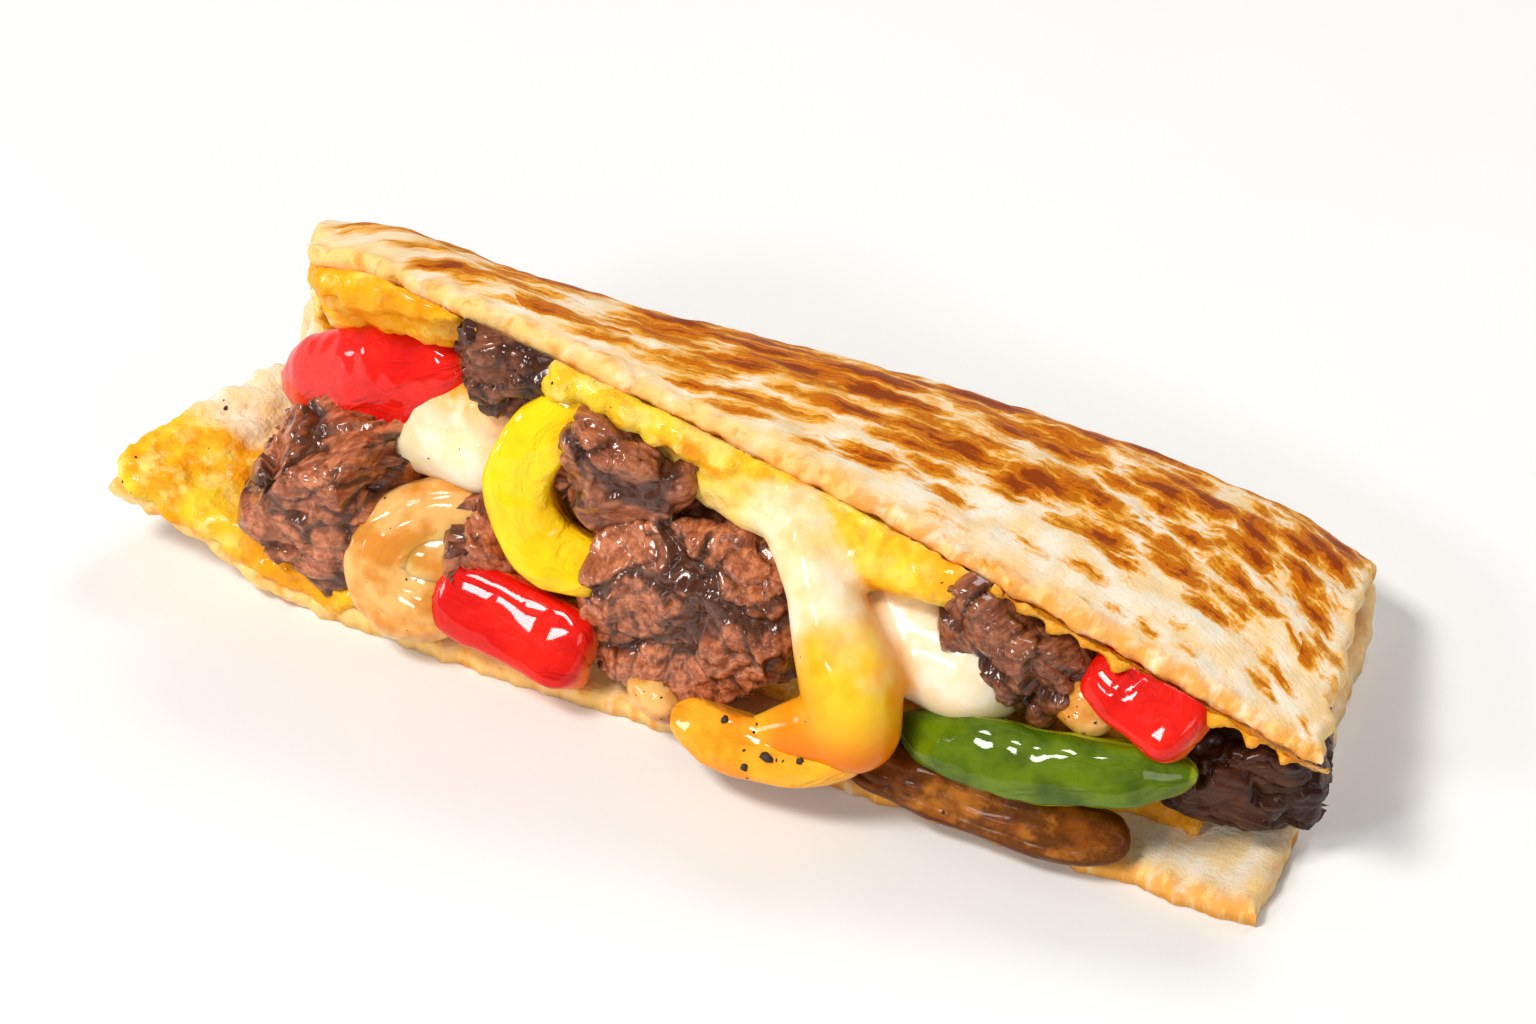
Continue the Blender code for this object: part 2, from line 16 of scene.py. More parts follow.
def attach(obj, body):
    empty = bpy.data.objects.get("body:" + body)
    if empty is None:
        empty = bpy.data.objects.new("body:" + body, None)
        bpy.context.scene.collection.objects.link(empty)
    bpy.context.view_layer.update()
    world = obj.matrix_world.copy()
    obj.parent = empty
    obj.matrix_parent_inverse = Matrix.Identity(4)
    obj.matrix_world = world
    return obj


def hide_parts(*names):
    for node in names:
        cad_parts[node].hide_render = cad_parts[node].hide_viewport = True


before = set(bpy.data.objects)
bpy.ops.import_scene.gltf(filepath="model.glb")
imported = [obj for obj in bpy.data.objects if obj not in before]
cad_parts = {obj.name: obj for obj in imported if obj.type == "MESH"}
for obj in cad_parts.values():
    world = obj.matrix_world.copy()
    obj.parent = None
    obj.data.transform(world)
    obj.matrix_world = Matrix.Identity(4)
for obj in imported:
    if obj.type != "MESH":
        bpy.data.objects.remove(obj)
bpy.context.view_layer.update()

MM = 0.001

# The wedge's own frame is moved by this much to stand in the row's frame.
ORIGIN = np.array((66.5, 21.9, 0.0))

# The folded tortilla, with the same sizes as its solid.
SHEET_THICK = 2.6
FOLD_RADIUS = 5.0
FOLD_DEPTHS = (27.0, 33.0, 36.0, 39.0, 42.5, 46.0, 48.5, 50.0, 50.4, 50.0, 46.0)
LOWER_LEFT_X, LOWER_RIGHT_X = -2.6, 131.0
FOLD_LEFT_X, FOLD_RIGHT_X = 6.5, 126.0
UPPER_LEFT_X, UPPER_RIGHT_X = 19.0, 135.0
UPPER_LEFT_SETBACK, UPPER_RIGHT_SETBACK = 10.0, 6.0
UPPER_LEFT_HEIGHT, UPPER_RIGHT_HEIGHT = 43.0, 19.0
UPPER_CROWN = 2.6
CORNER_DROOP, CORNER_SHARE = 2.0, 0.08
UPPER_SLOPE_DEG = 11.0
FOLD_RISE_SHARE, EDGE_RUN_SHARE = 0.62, 0.50
TIP_CURL_HEIGHT, TIP_CURL_SHARE = 7.6, 0.19
FLAT_ENDS, FOLD_ENDS = 0.34, 0.46
TUCK_ROOM, TUCK_RUN, TUCK_STEEPEST = 0.2, 0.8, 0.35
FLOOR_ROOM = 0.2
# How far in from its edges the sheet is rounded and crumbly.
ROUNDED_U, ROUNDED_V = 0.012, 0.016
CRUMBLY_U, CRUMBLY_V_LEFT, CRUMBLY_V_RIGHT = 0.03, 0.05, 0.024
# How brown each stretch is. The upper layer starts pale at its cut edge.
UNDERSIDE_GRIDDLE, FOLD_GRIDDLE = 0.70, 0.45
EDGE_GRIDDLE, TOP_RISE, BACK_RISE, LOW_END_FALL = 0.38, 0.64, 0.08, 0.15
# The griddle marks get shorter to the right of this x.
SHORT_MARKS_X, SHORT_MARKS_RUN = 70, 120
SHEET_STATIONS, SHEET_STEPS = 250, 140

# Steak: centre, size along its own x, y and z, turn in degrees, and a seed for its crags.
STEAKS = {
    "steak_left": ((23.4, 6.2, 12.8), (20.5, 14.0, 18.0), (4, -12, 8), 1),
    "steak_large": ((66.0, 7.2, 14.4), (23.5, 14.5, 22.6), (-6, 8, -4), 2),
    "steak_middle": ((56.3, 9.0, 26.6), (14.6, 11.0, 15.0), (10, 20, 12), 3),
    "steak_upper": ((43.2, 11.0, 35.2), (13.4, 9.0, 10.6), (0, 18, 10), 4),
    "steak_slanted": ((100.8, 8.4, 21.3), (16.6, 9.5, 8.8), (0, 33, -6), 5),
    "steak_inner": ((42.2, 6.2, 13.0), (10.0, 9.0, 10.0), (15, 10, 30), 6),
    "steak_right": ((123.0, 14.0, 9.0), (17.0, 14.0, 11.0), (0, -8, 20), 7),
}
# How much of its whole surface is blackened: char on most pieces, and painted shade on steak_right.
STEAK_CHAR_AND_SHADE = {"steak_upper": 0.60, "steak_middle": 0.2, "steak_right": 0.88, "steak_slanted": 0.45}
# Corners that are missing: which way each points, and how far out the piece is left.
STEAK_MISSING_CORNERS = {
    "steak_left": (((-0.72, -0.15, 0.68), 0.66), ((0.90, -0.43, -0.04), 0.55), ((0.84, -0.10, -0.54), 0.60)),
}
STEAK_SQUARENESS = 7.0
STEAK_CUTS_PER_MM = 3.0
STEAK_KNIFE_CUTS, STEAK_CUT_SHARES, STEAK_CUT_FLATNESS = 8, (0.70, 0.86), 0.92
# Wavelengths and heights of its relief, in millimetres.
SMALL_FACET, LARGE_FACET, LUMP, CLEFT, GROOVE, BREAK, THREAD = 2.8, 7.0, 9.0, 9.5, 3.4, 5.5, 1.2
STEAK_RELIEF = {"lumps": 0.30, "small_facets": 0.62, "large_facets": 1.15, "threads": 0.05}
STEAK_RELIEF.update({"crinkle": 0.22, "clefts": -0.80, "grooves": -0.30, "breaks": -0.25})
STEAK_OUTSET = 0.252
# How much painted shade, in the char colour, each kind of crease gets, and the borders of the facets.
STEAK_CREASE_SHADE, BORDER_SHADE = {"clefts": 1.0, "grooves": 0.5, "breaks": 0.4}, 0.7
# Scrambles a cell's heart into the way its facet leans, and how much facets differ in height.
FACET_SCRAMBLE, FACET_STEP = (91.7, 57.3), 0.25

# Strips of pepper and petals of onion: route, width across the skin, thickness, curl, bluntness.
STRIPS = {
    "red_pepper_left": (((10.4, 16.4, 16.6), (23.4, 12.0, 24.6), (36.0, 11.6, 31.9)), 11.4, 6.0, 1.6, 2.4),
    "yellow_pepper_ring": (
        ((61.0, 11.0, 34.8), (50.8, 7.8, 32.6), (46.0, 4.6, 24.8), (49.4, 2.8, 18.0), (57.5, 3.0, 16.8)),
        7.4, 5.2, 0.8, 7.0,
    ),
    "onion_ring": (
        ((43.5, 6.5, 15.8), (35.5, 4.5, 15.2), (31.2, 1.2, 11.4), (34.0, -0.4, 8.2), (41.0, -0.2, 8.4)),
        9.4, 5.2, 1.0, 5.0,
    ),
    "red_pepper_middle": (((37.5, 1.0, 10.2), (47.0, 0.2, 8.8), (56.5, -1.0, 7.4)), 9.2, 6.0, 0.8, 7.0),
    "yellow_pepper_front": (
        ((67.5, -2.8, 7.4), (72.2, -4.4, 7.0), (79.9, -5.0, 7.4), (86.4, -4.0, 9.8), (89.2, -2.4, 13.8)),
        6.4, 5.4, 0.6, 5.0,
    ),
    "green_pepper_right": (
        ((89.6, 2.2, 9.6), (99.6, 0.4, 11.4), (111.0, 0.6, 13.0), (122.6, 3.4, 14.6)), 7.6, 5.2, 1.2, 2.6
    ),
    "red_pepper_right": (((109.6, 8.4, 22.4), (115.3, 6.6, 20.2), (121.6, 4.4, 18.0)), 8.8, 5.2, 0.6, 9.0),
    "red_pepper_end": (((118.0, 38.5, 7.8), (121.5, 32.0, 8.0), (122.5, 26.0, 8.2)), 6.8, 4.6, 0.8, 4.0),
    "green_pepper_back": (((8.5, 25.5, 13.0), (13.0, 25.2, 14.8), (18.0, 24.5, 16.4)), 5.6, 4.0, 0.8, 4.0),
    "onion_petal_front": (((60.4, 1.4, 6.2), (63.4, -0.4, 5.8), (66.8, -2.4, 6.0)), 4.8, 4.2, 0.6, 2.6),
    "onion_petal_inner": (((105.2, 8.6, 15.6), (109.2, 5.6, 17.4), (113.0, 5.2, 17.0)), 5.6, 5.0, 0.6, 3.0),
    "onion_strip_right": (
        ((84.5, 0.6, 6.2), (95.0, -0.6, 5.6), (107.0, -0.8, 5.2), (117.0, 0.8, 5.4)), 6.4, 3.6, 0.6, 9.0
    ),
}
STRIP_SIDES, STRIP_RING_SPACING, STRIP_WOBBLE, GROOVE_WIDTH = 64, 0.32, 0.45, 0.09
# Where one petal of an onion ends on the next, across the strip from -1 to 1, and how deep the step is.
GROOVES = {
    "onion_ring": ((-0.25, 0.45), (0.5, 0.30)),
    "onion_petal_inner": ((0.2, 0.5),),
    "onion_strip_right": ((-0.1, 0.6), (0.5, 0.4)),
}
# The heart of an onion ring, which shows between its two arms.
INNER_PETALS = {"onion_ring": (((33.0, 1.0, 11.2), (37.0, 2.2, 12.2), (42.0, 3.6, 13.0)), 6.0, 4.4, 0.6, 3.0)}
STRIP_SKIN_SIDE = np.array((0.15, -0.80, 0.58))
PEPPER_SQUARENESS, ONION_SQUARENESS = 6.5, 3.2

# Melted cheese. A strand is a start, an end, the radius at each, how white it is and how crusty.
CHEESE_STRANDS = (
    ((50.0, 11.5, 34.6), (63.3, 10.5, 29.6), 2.8, 3.8, 0.42, 0.7),
    ((63.3, 10.5, 29.6), (76.9, 8.0, 28.6), 3.8, 4.2, 0.42, 0.6),
    ((76.9, 7.6, 28.4), (80.9, 3.2, 23.9), 4.2, 3.6, 0.8, 0.1),
    ((80.9, 3.2, 23.9), (86.3, -0.8, 17.3), 3.6, 5.4, 0.55, 0.0),
    ((86.3, -0.8, 17.3), (87.6, -2.8, 12.8), 5.4, 4.9, 0.05, 0.0),
    ((87.4, -2.6, 12.6), (76.0, -4.4, 7.8), 4.7, 1.8, 0.0, 0.0),
    ((80.2, 7.4, 26.6), (94.1, 7.2, 26.8), 3.6, 2.9, 0.05, 0.5),
    ((87.4, 9.2, 16.7), (96.6, 7.0, 15.9), 6.6, 6.0, 1.0, 0.0),
    ((30.5, 11.6, 20.0), (39.5, 9.4, 22.0), 4.4, 4.4, 1.0, 0.1),
    ((32.5, 12.0, 24.4), (40.5, 11.0, 27.4), 4.0, 3.8, 1.0, 0.1),
    ((21.0, 14.2, 36.2), (33.0, 13.6, 36.6), 4.2, 4.2, 0.1, 1.0),
    ((20.6, 17.6, 30.2), (28.0, 17.6, 31.6), 4.0, 3.6, 0.3, 1.0),
    ((16.0, 6.0, 4.4), (30.0, 5.0, 4.4), 2.4, 2.6, 0.5, 0.6),
    ((36.0, 5.0, 5.0), (58.0, 6.0, 5.0), 3.0, 3.0, 0.3, 0.6),
    ((90.0, 6.0, 5.4), (112.0, 8.0, 5.0), 3.4, 2.6, 0.2, 0.6),
)
CHEESE_START_DEPTH = SHEET_THICK / 2 - 0.2
CHEESE_RECESS, LEFT_RECESS, RECESS_EASE_SHARE = 3.0, 8.0, 0.15
CORE_LEFT_SHARE, CORE_RIGHT_SHARE = 0.11, 0.93
LINING_THICK = 3.6
LINING_END_SHARE = 0.24
RIM_BEAD_SPACING, RIM_BEAD_SMALL, RIM_BEAD_LARGE = 3.8, 1.9, 3.0
RIM_BEAD_SEED = 11
RIM_BEAD_RIGHT_SHARE = 0.45
# The beads are small where a piece of steak reaches up to the layer.
RIM_GAP_START, RIM_GAP_END, RIM_GAP_SHARE = 0.115, 0.25, 0.35
RIM_BEAD_FORWARD, BEAD_TAPER = 1.1, 0.8
END_BEAD_RADII, END_BEAD_SEED = (1.0, 1.7), 12
CHEESE_VOXEL, CHEESE_SMOOTHING = 0.62, 7
# Heights of its lumps and grain where it is crusty, and of its swells.
CRUST_LUMP, CRUST_GRAIN, CHEESE_SWELL = 0.80, 0.48, 0.25
STRAND_BLUR = 1.6

# Grains of pepper and char lie on what faces this way, out of the open cut.
CUT_SIDE, LEAST_FACING = (0.33, -0.69, 0.65), 0.35
CHAR_SPOT, CHAR_REACH = (80.0, -6.0, 10.5), 6.0

# The camera stands where the photograph was taken from.
CAMERA_AZIMUTH_DEG, CAMERA_ELEVATION_DEG = 25.92, 40.40
CAMERA_DISTANCE_MM = 555.7
CAMERA_PIVOT_MM = (65.0, 20.0, 20.0)
CAMERA_LENS_MM, SENSOR_MM = 124.0, 36.0
AIM_MM = (67.0, 20.0, 16.0)

# Lights: azimuth and elevation in degrees, distance and size in metres, power in watts, and colour.
LIGHTS = {
    "key": (-30, 58, 0.9, 0.26, 5.5, (1.0, 0.97, 0.93)),
    "rim": (165, 50, 0.9, 0.40, 2.6),
    "front": (-24, 33, 0.9, 0.14, 1.5),
    "side": (-70, 9, 0.9, 0.18, 1.2),
    "fill": (45, 25, 1.0, 0.40, 1.3),
}
WORLD_STRENGTH, SOFTBOX_ASPECT = 0.24, 0.7
FLOOR_REACH = 1.5


def mix(a, b, share):
    return a + (b - a) * share


def ease(share):
    share = np.clip(share, 0, 1)
    return share * share * (3 - 2 * share)


class Lattice:
    """Smooth repeatable noise from -1 to 1 on arrays of points."""

    SIDE = 32
    CORNERS = [np.array((i, j, k)) for i in (0, 1) for j in (0, 1) for k in (0, 1)]

    def __init__(self, seed):
        self.slopes = unit(np.random.default_rng(seed).normal(size=(self.SIDE,) * 3 + (3,)))

    def __call__(self, points, wavelength):
        scaled = np.asarray(points) / wavelength
        cell = np.floor(scaled).astype(int)
        part = scaled - cell
        fade = part**3 * (part * (part * 6 - 15) + 10)
        total = np.zeros(len(scaled))
        for corner in self.CORNERS:
            at = (cell + corner) % self.SIDE
            slope = self.slopes[at[:, 0], at[:, 1], at[:, 2]]
            weight = np.where(corner, fade, 1 - fade).prod(axis=1)
            total += weight * ((part - corner) * slope).sum(axis=1)
        return total * 1.5

    def ridges(self, points, wavelength):
        """1 along thin creases, falling to 0 between them."""
        return (1 - np.abs(self(points, wavelength))) ** 4


def cell_facets(points, wavelength):
    """Flat facets of a crinkled surface, each leaning its own way, and 0 on their borders rising inwards."""
    scaled = np.asarray(points) / wavelength
    near = [point_noise.voronoi(Vector(p)) for p in scaled]
    borders = np.array([gaps[1] - gaps[0] for gaps, _ in near])
    hearts = np.array([places[0][:] for _, places in near])
    lean = np.sin(hearts * FACET_SCRAMBLE[0] + hearts[:, (1, 2, 0)] * FACET_SCRAMBLE[1])
    return ((scaled - hearts) * lean).sum(axis=1) + FACET_STEP * lean[:, 0] * lean[:, 1], borders


def smooth_span(a, b, c, d, t):
    """A smooth curve from b to c, with a before it and d after it."""
    return 0.5 * (2 * b + (c - a) * t + (2 * a - 5 * b + 4 * c - d) * t * t + (3 * b - a - 3 * c + d) * t**3)


def smooth_table(values, u):
    """Values at u along an evenly spaced row, on a smooth curve through them all."""
    row = np.array(values)
    row = np.concatenate(([2 * row[0] - row[1]], row, [2 * row[-1] - row[-2]]))
    place = np.clip(u, 0, 1) * (len(values) - 1)
    n = np.minimum(place.astype(int), len(values) - 2)
    return smooth_span(row[n], row[n + 1], row[n + 2], row[n + 3], place - n)


def upper_ends(share):
    """x of the upper layer's left and right ends, a share of the way from the fold to its cut edge."""
    return mix(FOLD_LEFT_X, UPPER_LEFT_X, share), mix(FOLD_RIGHT_X, UPPER_RIGHT_X, share**2)


def sheet_point(u, v):
    """Points on the middle of the folded sheet: u along it, v round it from the lower cut edge up."""
    u, v = np.clip(u, 0, 1), np.clip(v, 0, 1)
    on_upper = v >= FOLD_ENDS
    low = ease(v / FOLD_ENDS)
    high = np.clip((v - FOLD_ENDS) / (1 - FOLD_ENDS), 0, 1)
    upper_left, upper_right = upper_ends(high)
    left = np.where(on_upper, upper_left, mix(LOWER_LEFT_X, FOLD_LEFT_X, low))
    right = np.where(on_upper, upper_right, mix(LOWER_RIGHT_X, FOLD_RIGHT_X, low))

    depth = smooth_table(FOLD_DEPTHS, u)
    floor = SHEET_THICK / 2 + TIP_CURL_HEIGHT * ease(1 - u / TIP_CURL_SHARE)
    flat_depth = depth - FOLD_RADIUS
    angle = np.clip((v - FLAT_ENDS) / (FOLD_ENDS - FLAT_ENDS), 0, 1) * math.pi / 2
    lower_y = flat_depth * np.minimum(v / FLAT_ENDS, 1) + FOLD_RADIUS * np.sin(angle)
    lower_z = floor + FOLD_RADIUS * (1 - np.cos(angle))

    edge_y = mix(UPPER_LEFT_SETBACK, UPPER_RIGHT_SETBACK, u)
    edge_z = mix(UPPER_LEFT_HEIGHT, UPPER_RIGHT_HEIGHT, u) + UPPER_CROWN * np.sin(math.pi * u)
    edge_z = edge_z - CORNER_DROOP * ease(1 - u / CORNER_SHARE)
    start_z = floor + FOLD_RADIUS
    run = (depth - edge_y) * EDGE_RUN_SHARE
    slope = math.tan(math.radians(UPPER_SLOPE_DEG))
    s, t = 1 - high, high
    upper_y = depth * (s**3 + 3 * s * s * t) + 3 * s * t * t * (edge_y + run) + t**3 * edge_y
    upper_z = s**3 * start_z + 3 * s * s * t * (start_z + (edge_z - start_z) * FOLD_RISE_SHARE)
    upper_z = upper_z + 3 * s * t * t * (edge_z - run * slope) + t**3 * edge_z
    y, z = np.where(on_upper, upper_y, lower_y), np.where(on_upper, upper_z, lower_z)
    return np.stack((mix(left, right, u), y, z), -1)


def unit(vectors):
    return vectors / np.maximum(1e-9, np.linalg.norm(vectors, axis=-1, keepdims=True))


def sheet_directions(u, v):
    """Unit vectors along the sheet, round it, and out of it away from the filling."""
    step = 1e-3
    along = unit(sheet_point(u + step, v) - sheet_point(u - step, v))
    around = unit(sheet_point(u, v + step) - sheet_point(u, v - step))
    return along, around, unit(np.cross(around, along))


def upper_layer_at(x, y):
    """u and v of the upper layer over points of the plan. In front of the layer v stays at its cut edge."""
    low, high = np.full(len(x), FOLD_ENDS), np.ones(len(x))
    for _ in range(20):
        v = (low + high) / 2
        left, right = upper_ends((v - FOLD_ENDS) / (1 - FOLD_ENDS))
        u = np.clip((x - left) / (right - left), 0, 1)
        behind = sheet_point(u, v)[:, 1] > y
        low, high = np.where(behind, v, low), np.where(behind, high, v)
    return u, v


def tuck_under(points):
    """Presses points down under the upper layer, and up onto the floor."""
    u, v = upper_layer_at(points[:, 0], points[:, 1])
    over = sheet_point(u, v)
    out = sheet_directions(u, v)[2]
    under = over[:, 2] - (SHEET_THICK / 2 + TUCK_ROOM) / np.maximum(TUCK_STEEPEST, out[:, 2])
    in_front = ease((over[:, 1] - points[:, 1]) / TUCK_RUN)
    limit = mix(under, over[:, 2] + TUCK_ROOM, in_front)
    tucked = points.copy()
    tucked[:, 2] = np.clip(np.minimum(points[:, 2], limit), FLOOR_ROOM, None)
    return tucked


def inside_sheet(u, v, depth):
    """Points at a depth below the sheet's middle, on the filling's side."""
    u, v = np.atleast_1d(u), np.atleast_1d(v)
    return sheet_point(u, v) - sheet_directions(u, v)[2] * depth


# Mesh helpers


def to_row(points):
    """Points in metres in the row's frame, from millimetres in the wedge's own."""
    return (np.asarray(points) - ORIGIN) * MM


def put_in_scene(name, data):
    item = bpy.data.objects.new(name, data)
    bpy.context.scene.collection.objects.link(item)
    return item


def add_piece(name, points, faces, node, material):
    """A mesh piece from points in the wedge's frame, standing for one CAD node."""
    mesh = bpy.data.meshes.new(name)
    mesh.from_pydata(to_row(points).tolist(), [], faces)
    return add_mesh(name, mesh, node, material)


def add_mesh(name, mesh, node, material):
    mesh.validate()
    mesh.shade_smooth()
    mesh.materials.append(material)
    piece = put_in_scene(name, mesh)
    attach(piece, "root")
    if node:
        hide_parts(node)
    return piece


def set_attributes(mesh, **fields):
    """Stores numbers or vectors on the points, for the materials."""
    for name, values in fields.items():
        values = np.asarray(values, dtype=np.float32)
        kind, field = ("FLOAT_VECTOR", "vector") if values.ndim == 2 else ("FLOAT", "value")
        mesh.attributes.new(name, kind, "POINT").data.foreach_set(field, values.ravel())


def read_vectors(items, field):
    values = np.empty(len(items) * 3)
    items.foreach_get(field, values)
    return values.reshape(-1, 3)


def grid_faces(rows, columns, start=0, closed=False):
    """Quads of a grid of points that are numbered row by row."""
    i = np.arange(rows - 1)[:, None]
    j = np.arange(columns if closed else columns - 1)[None, :]
    k = (j + 1) % columns
    quads = np.stack((i * columns + j, (i + 1) * columns + j, (i + 1) * columns + k, i * columns + k), -1)
    return (quads.reshape(-1, 4) + start).tolist()


def slab_faces(rows, columns):
    """Faces of a solid between two grids of points, the second numbered after the first."""
    count = rows * columns
    faces = grid_faces(rows, columns) + [f[::-1] for f in grid_faces(rows, columns, count)]
    rim = list(range(columns - 1))
    rim += [i * columns + columns - 1 for i in range(rows - 1)]
    rim += [(rows - 1) * columns + j for j in range(columns - 1, 0, -1)]
    rim += [i * columns for i in range(rows - 1, 0, -1)]
    return faces + [(a, b, b + count, a + count) for a, b in zip(rim, rim[1:] + rim[:1])]


# Shader recipes


def feed(sockets, values):
    """Sets each socket, or links it to the output that is its value."""
    for socket, value in zip(sockets, values):
        if isinstance(value, bpy.types.NodeSocket):
            socket.id_data.links.new(value, socket)
        elif value is not None:
            socket.default_value = value


def shade(tree, **values):
    """Sets the Principled shader's own sockets, or links nodes to them."""
    inputs = tree.nodes["Principled BSDF"].inputs
    feed([inputs[key.replace("_", " ").title().replace("Ior", "IOR")] for key in values], values.values())


def new_material(name, **settings):
    """A Principled material, with its even values set on the shader itself."""
    material = bpy.data.materials.new(name)
    material.use_nodes = True
    shade(material.node_tree, **settings)
    return material, material.node_tree


def new_node(kind, values):
    """A node in the material that its values come from."""
    tree = next(value.id_data for value in values if isinstance(value, bpy.types.NodeSocket))
    return tree.nodes.new("ShaderNode" + kind)


def make_node(kind, output, **sockets):
    """One output of a new node, with some of its sockets set or linked."""
    node = new_node(kind, sockets.values())
    feed([node.inputs[name] for name in sockets], sockets.values())
    return node.outputs[output]


def attribute(tree, name, output="Fac"):
    node = tree.nodes.new("ShaderNodeAttribute")
    node.attribute_name = name
    return node.outputs[output]


def place_mm(tree):
    """Where a point is on the object, in millimetres."""
    return stretch(tree.nodes.new("ShaderNodeTexCoord").outputs["Object"], (1000, 1000, 1000))


def stretch(vector, factors):
    return make_node("Mapping", "Vector", Vector=vector, Scale=factors)


def noise(vector, wavelength, detail=3.0, roughness=0.55, distortion=0.0, output="Fac"):
    shape = {"Detail": detail, "Roughness": roughness, "Distortion": distortion}
    return make_node("TexNoise", output, Vector=vector, Scale=1 / wavelength, **shape)


def cells(vector, feature="F1", output="Distance"):
    """A pattern of cells that are 1 across."""
    found = make_node("TexVoronoi", output, Vector=vector, Scale=1.0)
    found.node.feature = feature
    return found


def calc(operation, a, b=None, c=None, clamp=False):
    node = new_node("Math", (a, b, c))
    node.operation = operation
    node.use_clamp = clamp
    feed(node.inputs, (a, b, c))
    return node.outputs[0]


def band(value, low, high, to_low=0.0, to_high=1.0):
    """A smooth step of a value between two limits."""
    node = new_node("MapRange", (value,))
    node.interpolation_type = "SMOOTHSTEP"
    feed(node.inputs, (value, low, high, to_low, to_high))
    return node.outputs[0]


def sway(value, wave, amount):
    """A value moved up and down by noise that runs from 0 to 1."""
    return calc("MULTIPLY_ADD", calc("SUBTRACT", wave, 0.5), amount, value)


def blend(share, a, b):
    node = new_node("Mix", (share, a, b))
    node.data_type = "RGBA"
    colours = [(*value, 1) if isinstance(value, tuple) else value for value in (a, b)]
    feed((node.inputs[0], node.inputs[6], node.inputs[7]), (share, *colours))
    return node.outputs[2]


def shift(vector, by, amount):
    """A vector moved by a colour's worth of noise."""
    node = new_node("VectorMath", (by, vector))
    node.operation = "MULTIPLY_ADD"
    feed(node.inputs, (by, (amount,) * 3, vector))
    return node.outputs[0]


def bump(height, depth_mm, normal=None):
    sizes = {"Strength": 1.0, "Distance": depth_mm * MM}
    return make_node("Bump", "Normal", Height=height, Normal=normal, **sizes)


CREAM, PALE_CREAM = (0.96, 0.68, 0.35), (0.97, 0.85, 0.67)
GOLDEN, BROWN, DARK_BROWN = (0.95, 0.39, 0.014), (0.78, 0.20, 0.002), (0.30, 0.045, 0.001)
LIP_CREAM, CRUST = (0.94, 0.58, 0.17), (0.88, 0.36, 0.035)


def tortilla_material():
    """Cream dough with long brown griddle marks, darker streaks in them, and a golden crust at the edges."""
    material, tree = new_material(
        "griddled_dough", specular_ior_level=0.05, subsurface_weight=0.08, subsurface_scale=0.002
    )
    place = attribute(tree, "place", "Vector")
    wander = noise(place, 7.0, detail=2, output="Color")
    long_cells = shift(stretch(place, (0.10, 0.27, 0.0)), wander, 0.75)
    fibres = noise(stretch(place, (0.26, 1.4, 1.0)), 1.0, detail=5, roughness=0.68)
    patches = noise(stretch(place, (0.6, 1.0, 1.0)), 9.0, detail=2)
    grit = noise(place, 1.1, detail=4, roughness=0.7)
    chance = cells(long_cells, output="Color")
    strength = calc("MULTIPLY_ADD", cells(long_cells), -1.45, attribute(tree, "griddle"))
    for wave, amount in ((chance, 0.55), (fibres, 1.3), (patches, 0.9), (grit, 0.7)):
        strength = sway(strength, wave, amount)
    colour = blend(band(noise(place, 5.0), 0.35, 0.65), PALE_CREAM, CREAM)
    colour = blend(band(strength, -0.30, 0.06, 0.0, 0.95), colour, GOLDEN)
    colour = blend(band(strength, 0.06, 0.26), colour, BROWN)
    colour = blend(band(strength, 0.26, 0.66), colour, DARK_BROWN)
    toast = calc("MULTIPLY_ADD", attribute(tree, "toast"), 0.16, noise(place, 2.2, detail=4))
    lip = blend(band(toast, 0.50, 0.66), LIP_CREAM, CRUST)
    edge = calc("MULTIPLY", attribute(tree, "edge"), band(noise(place, 3.0), 0.25, 0.50, 0.0, 0.9))
    crisp = calc("MULTIPLY_ADD", fibres, 0.5, band(strength, 0.0, 0.4, 0.0, 0.5))
    grain = noise(place, 0.7, detail=4, roughness=0.65)
    shade(
        tree,
        base_color=blend(edge, colour, lip),
        roughness=band(strength, 0.0, 0.5, 0.62, 0.48),
        normal=bump(grain, 0.12, bump(crisp, 0.35)),
    )
    return material


WHITE_CHEESE, SHADE_CHEESE = (0.94, 0.83, 0.64), (0.88, 0.72, 0.42)
YELLOW_CHEESE, ORANGE_CHEESE, FRIED_CHEESE = (0.96, 0.63, 0.030), (0.94, 0.36, 0.002), (0.84, 0.29, 0.015)
PALE_YELLOW_CHEESE, FOOT_CHEESE = (0.96, 0.72, 0.17), (0.84, 0.20, 0.001)


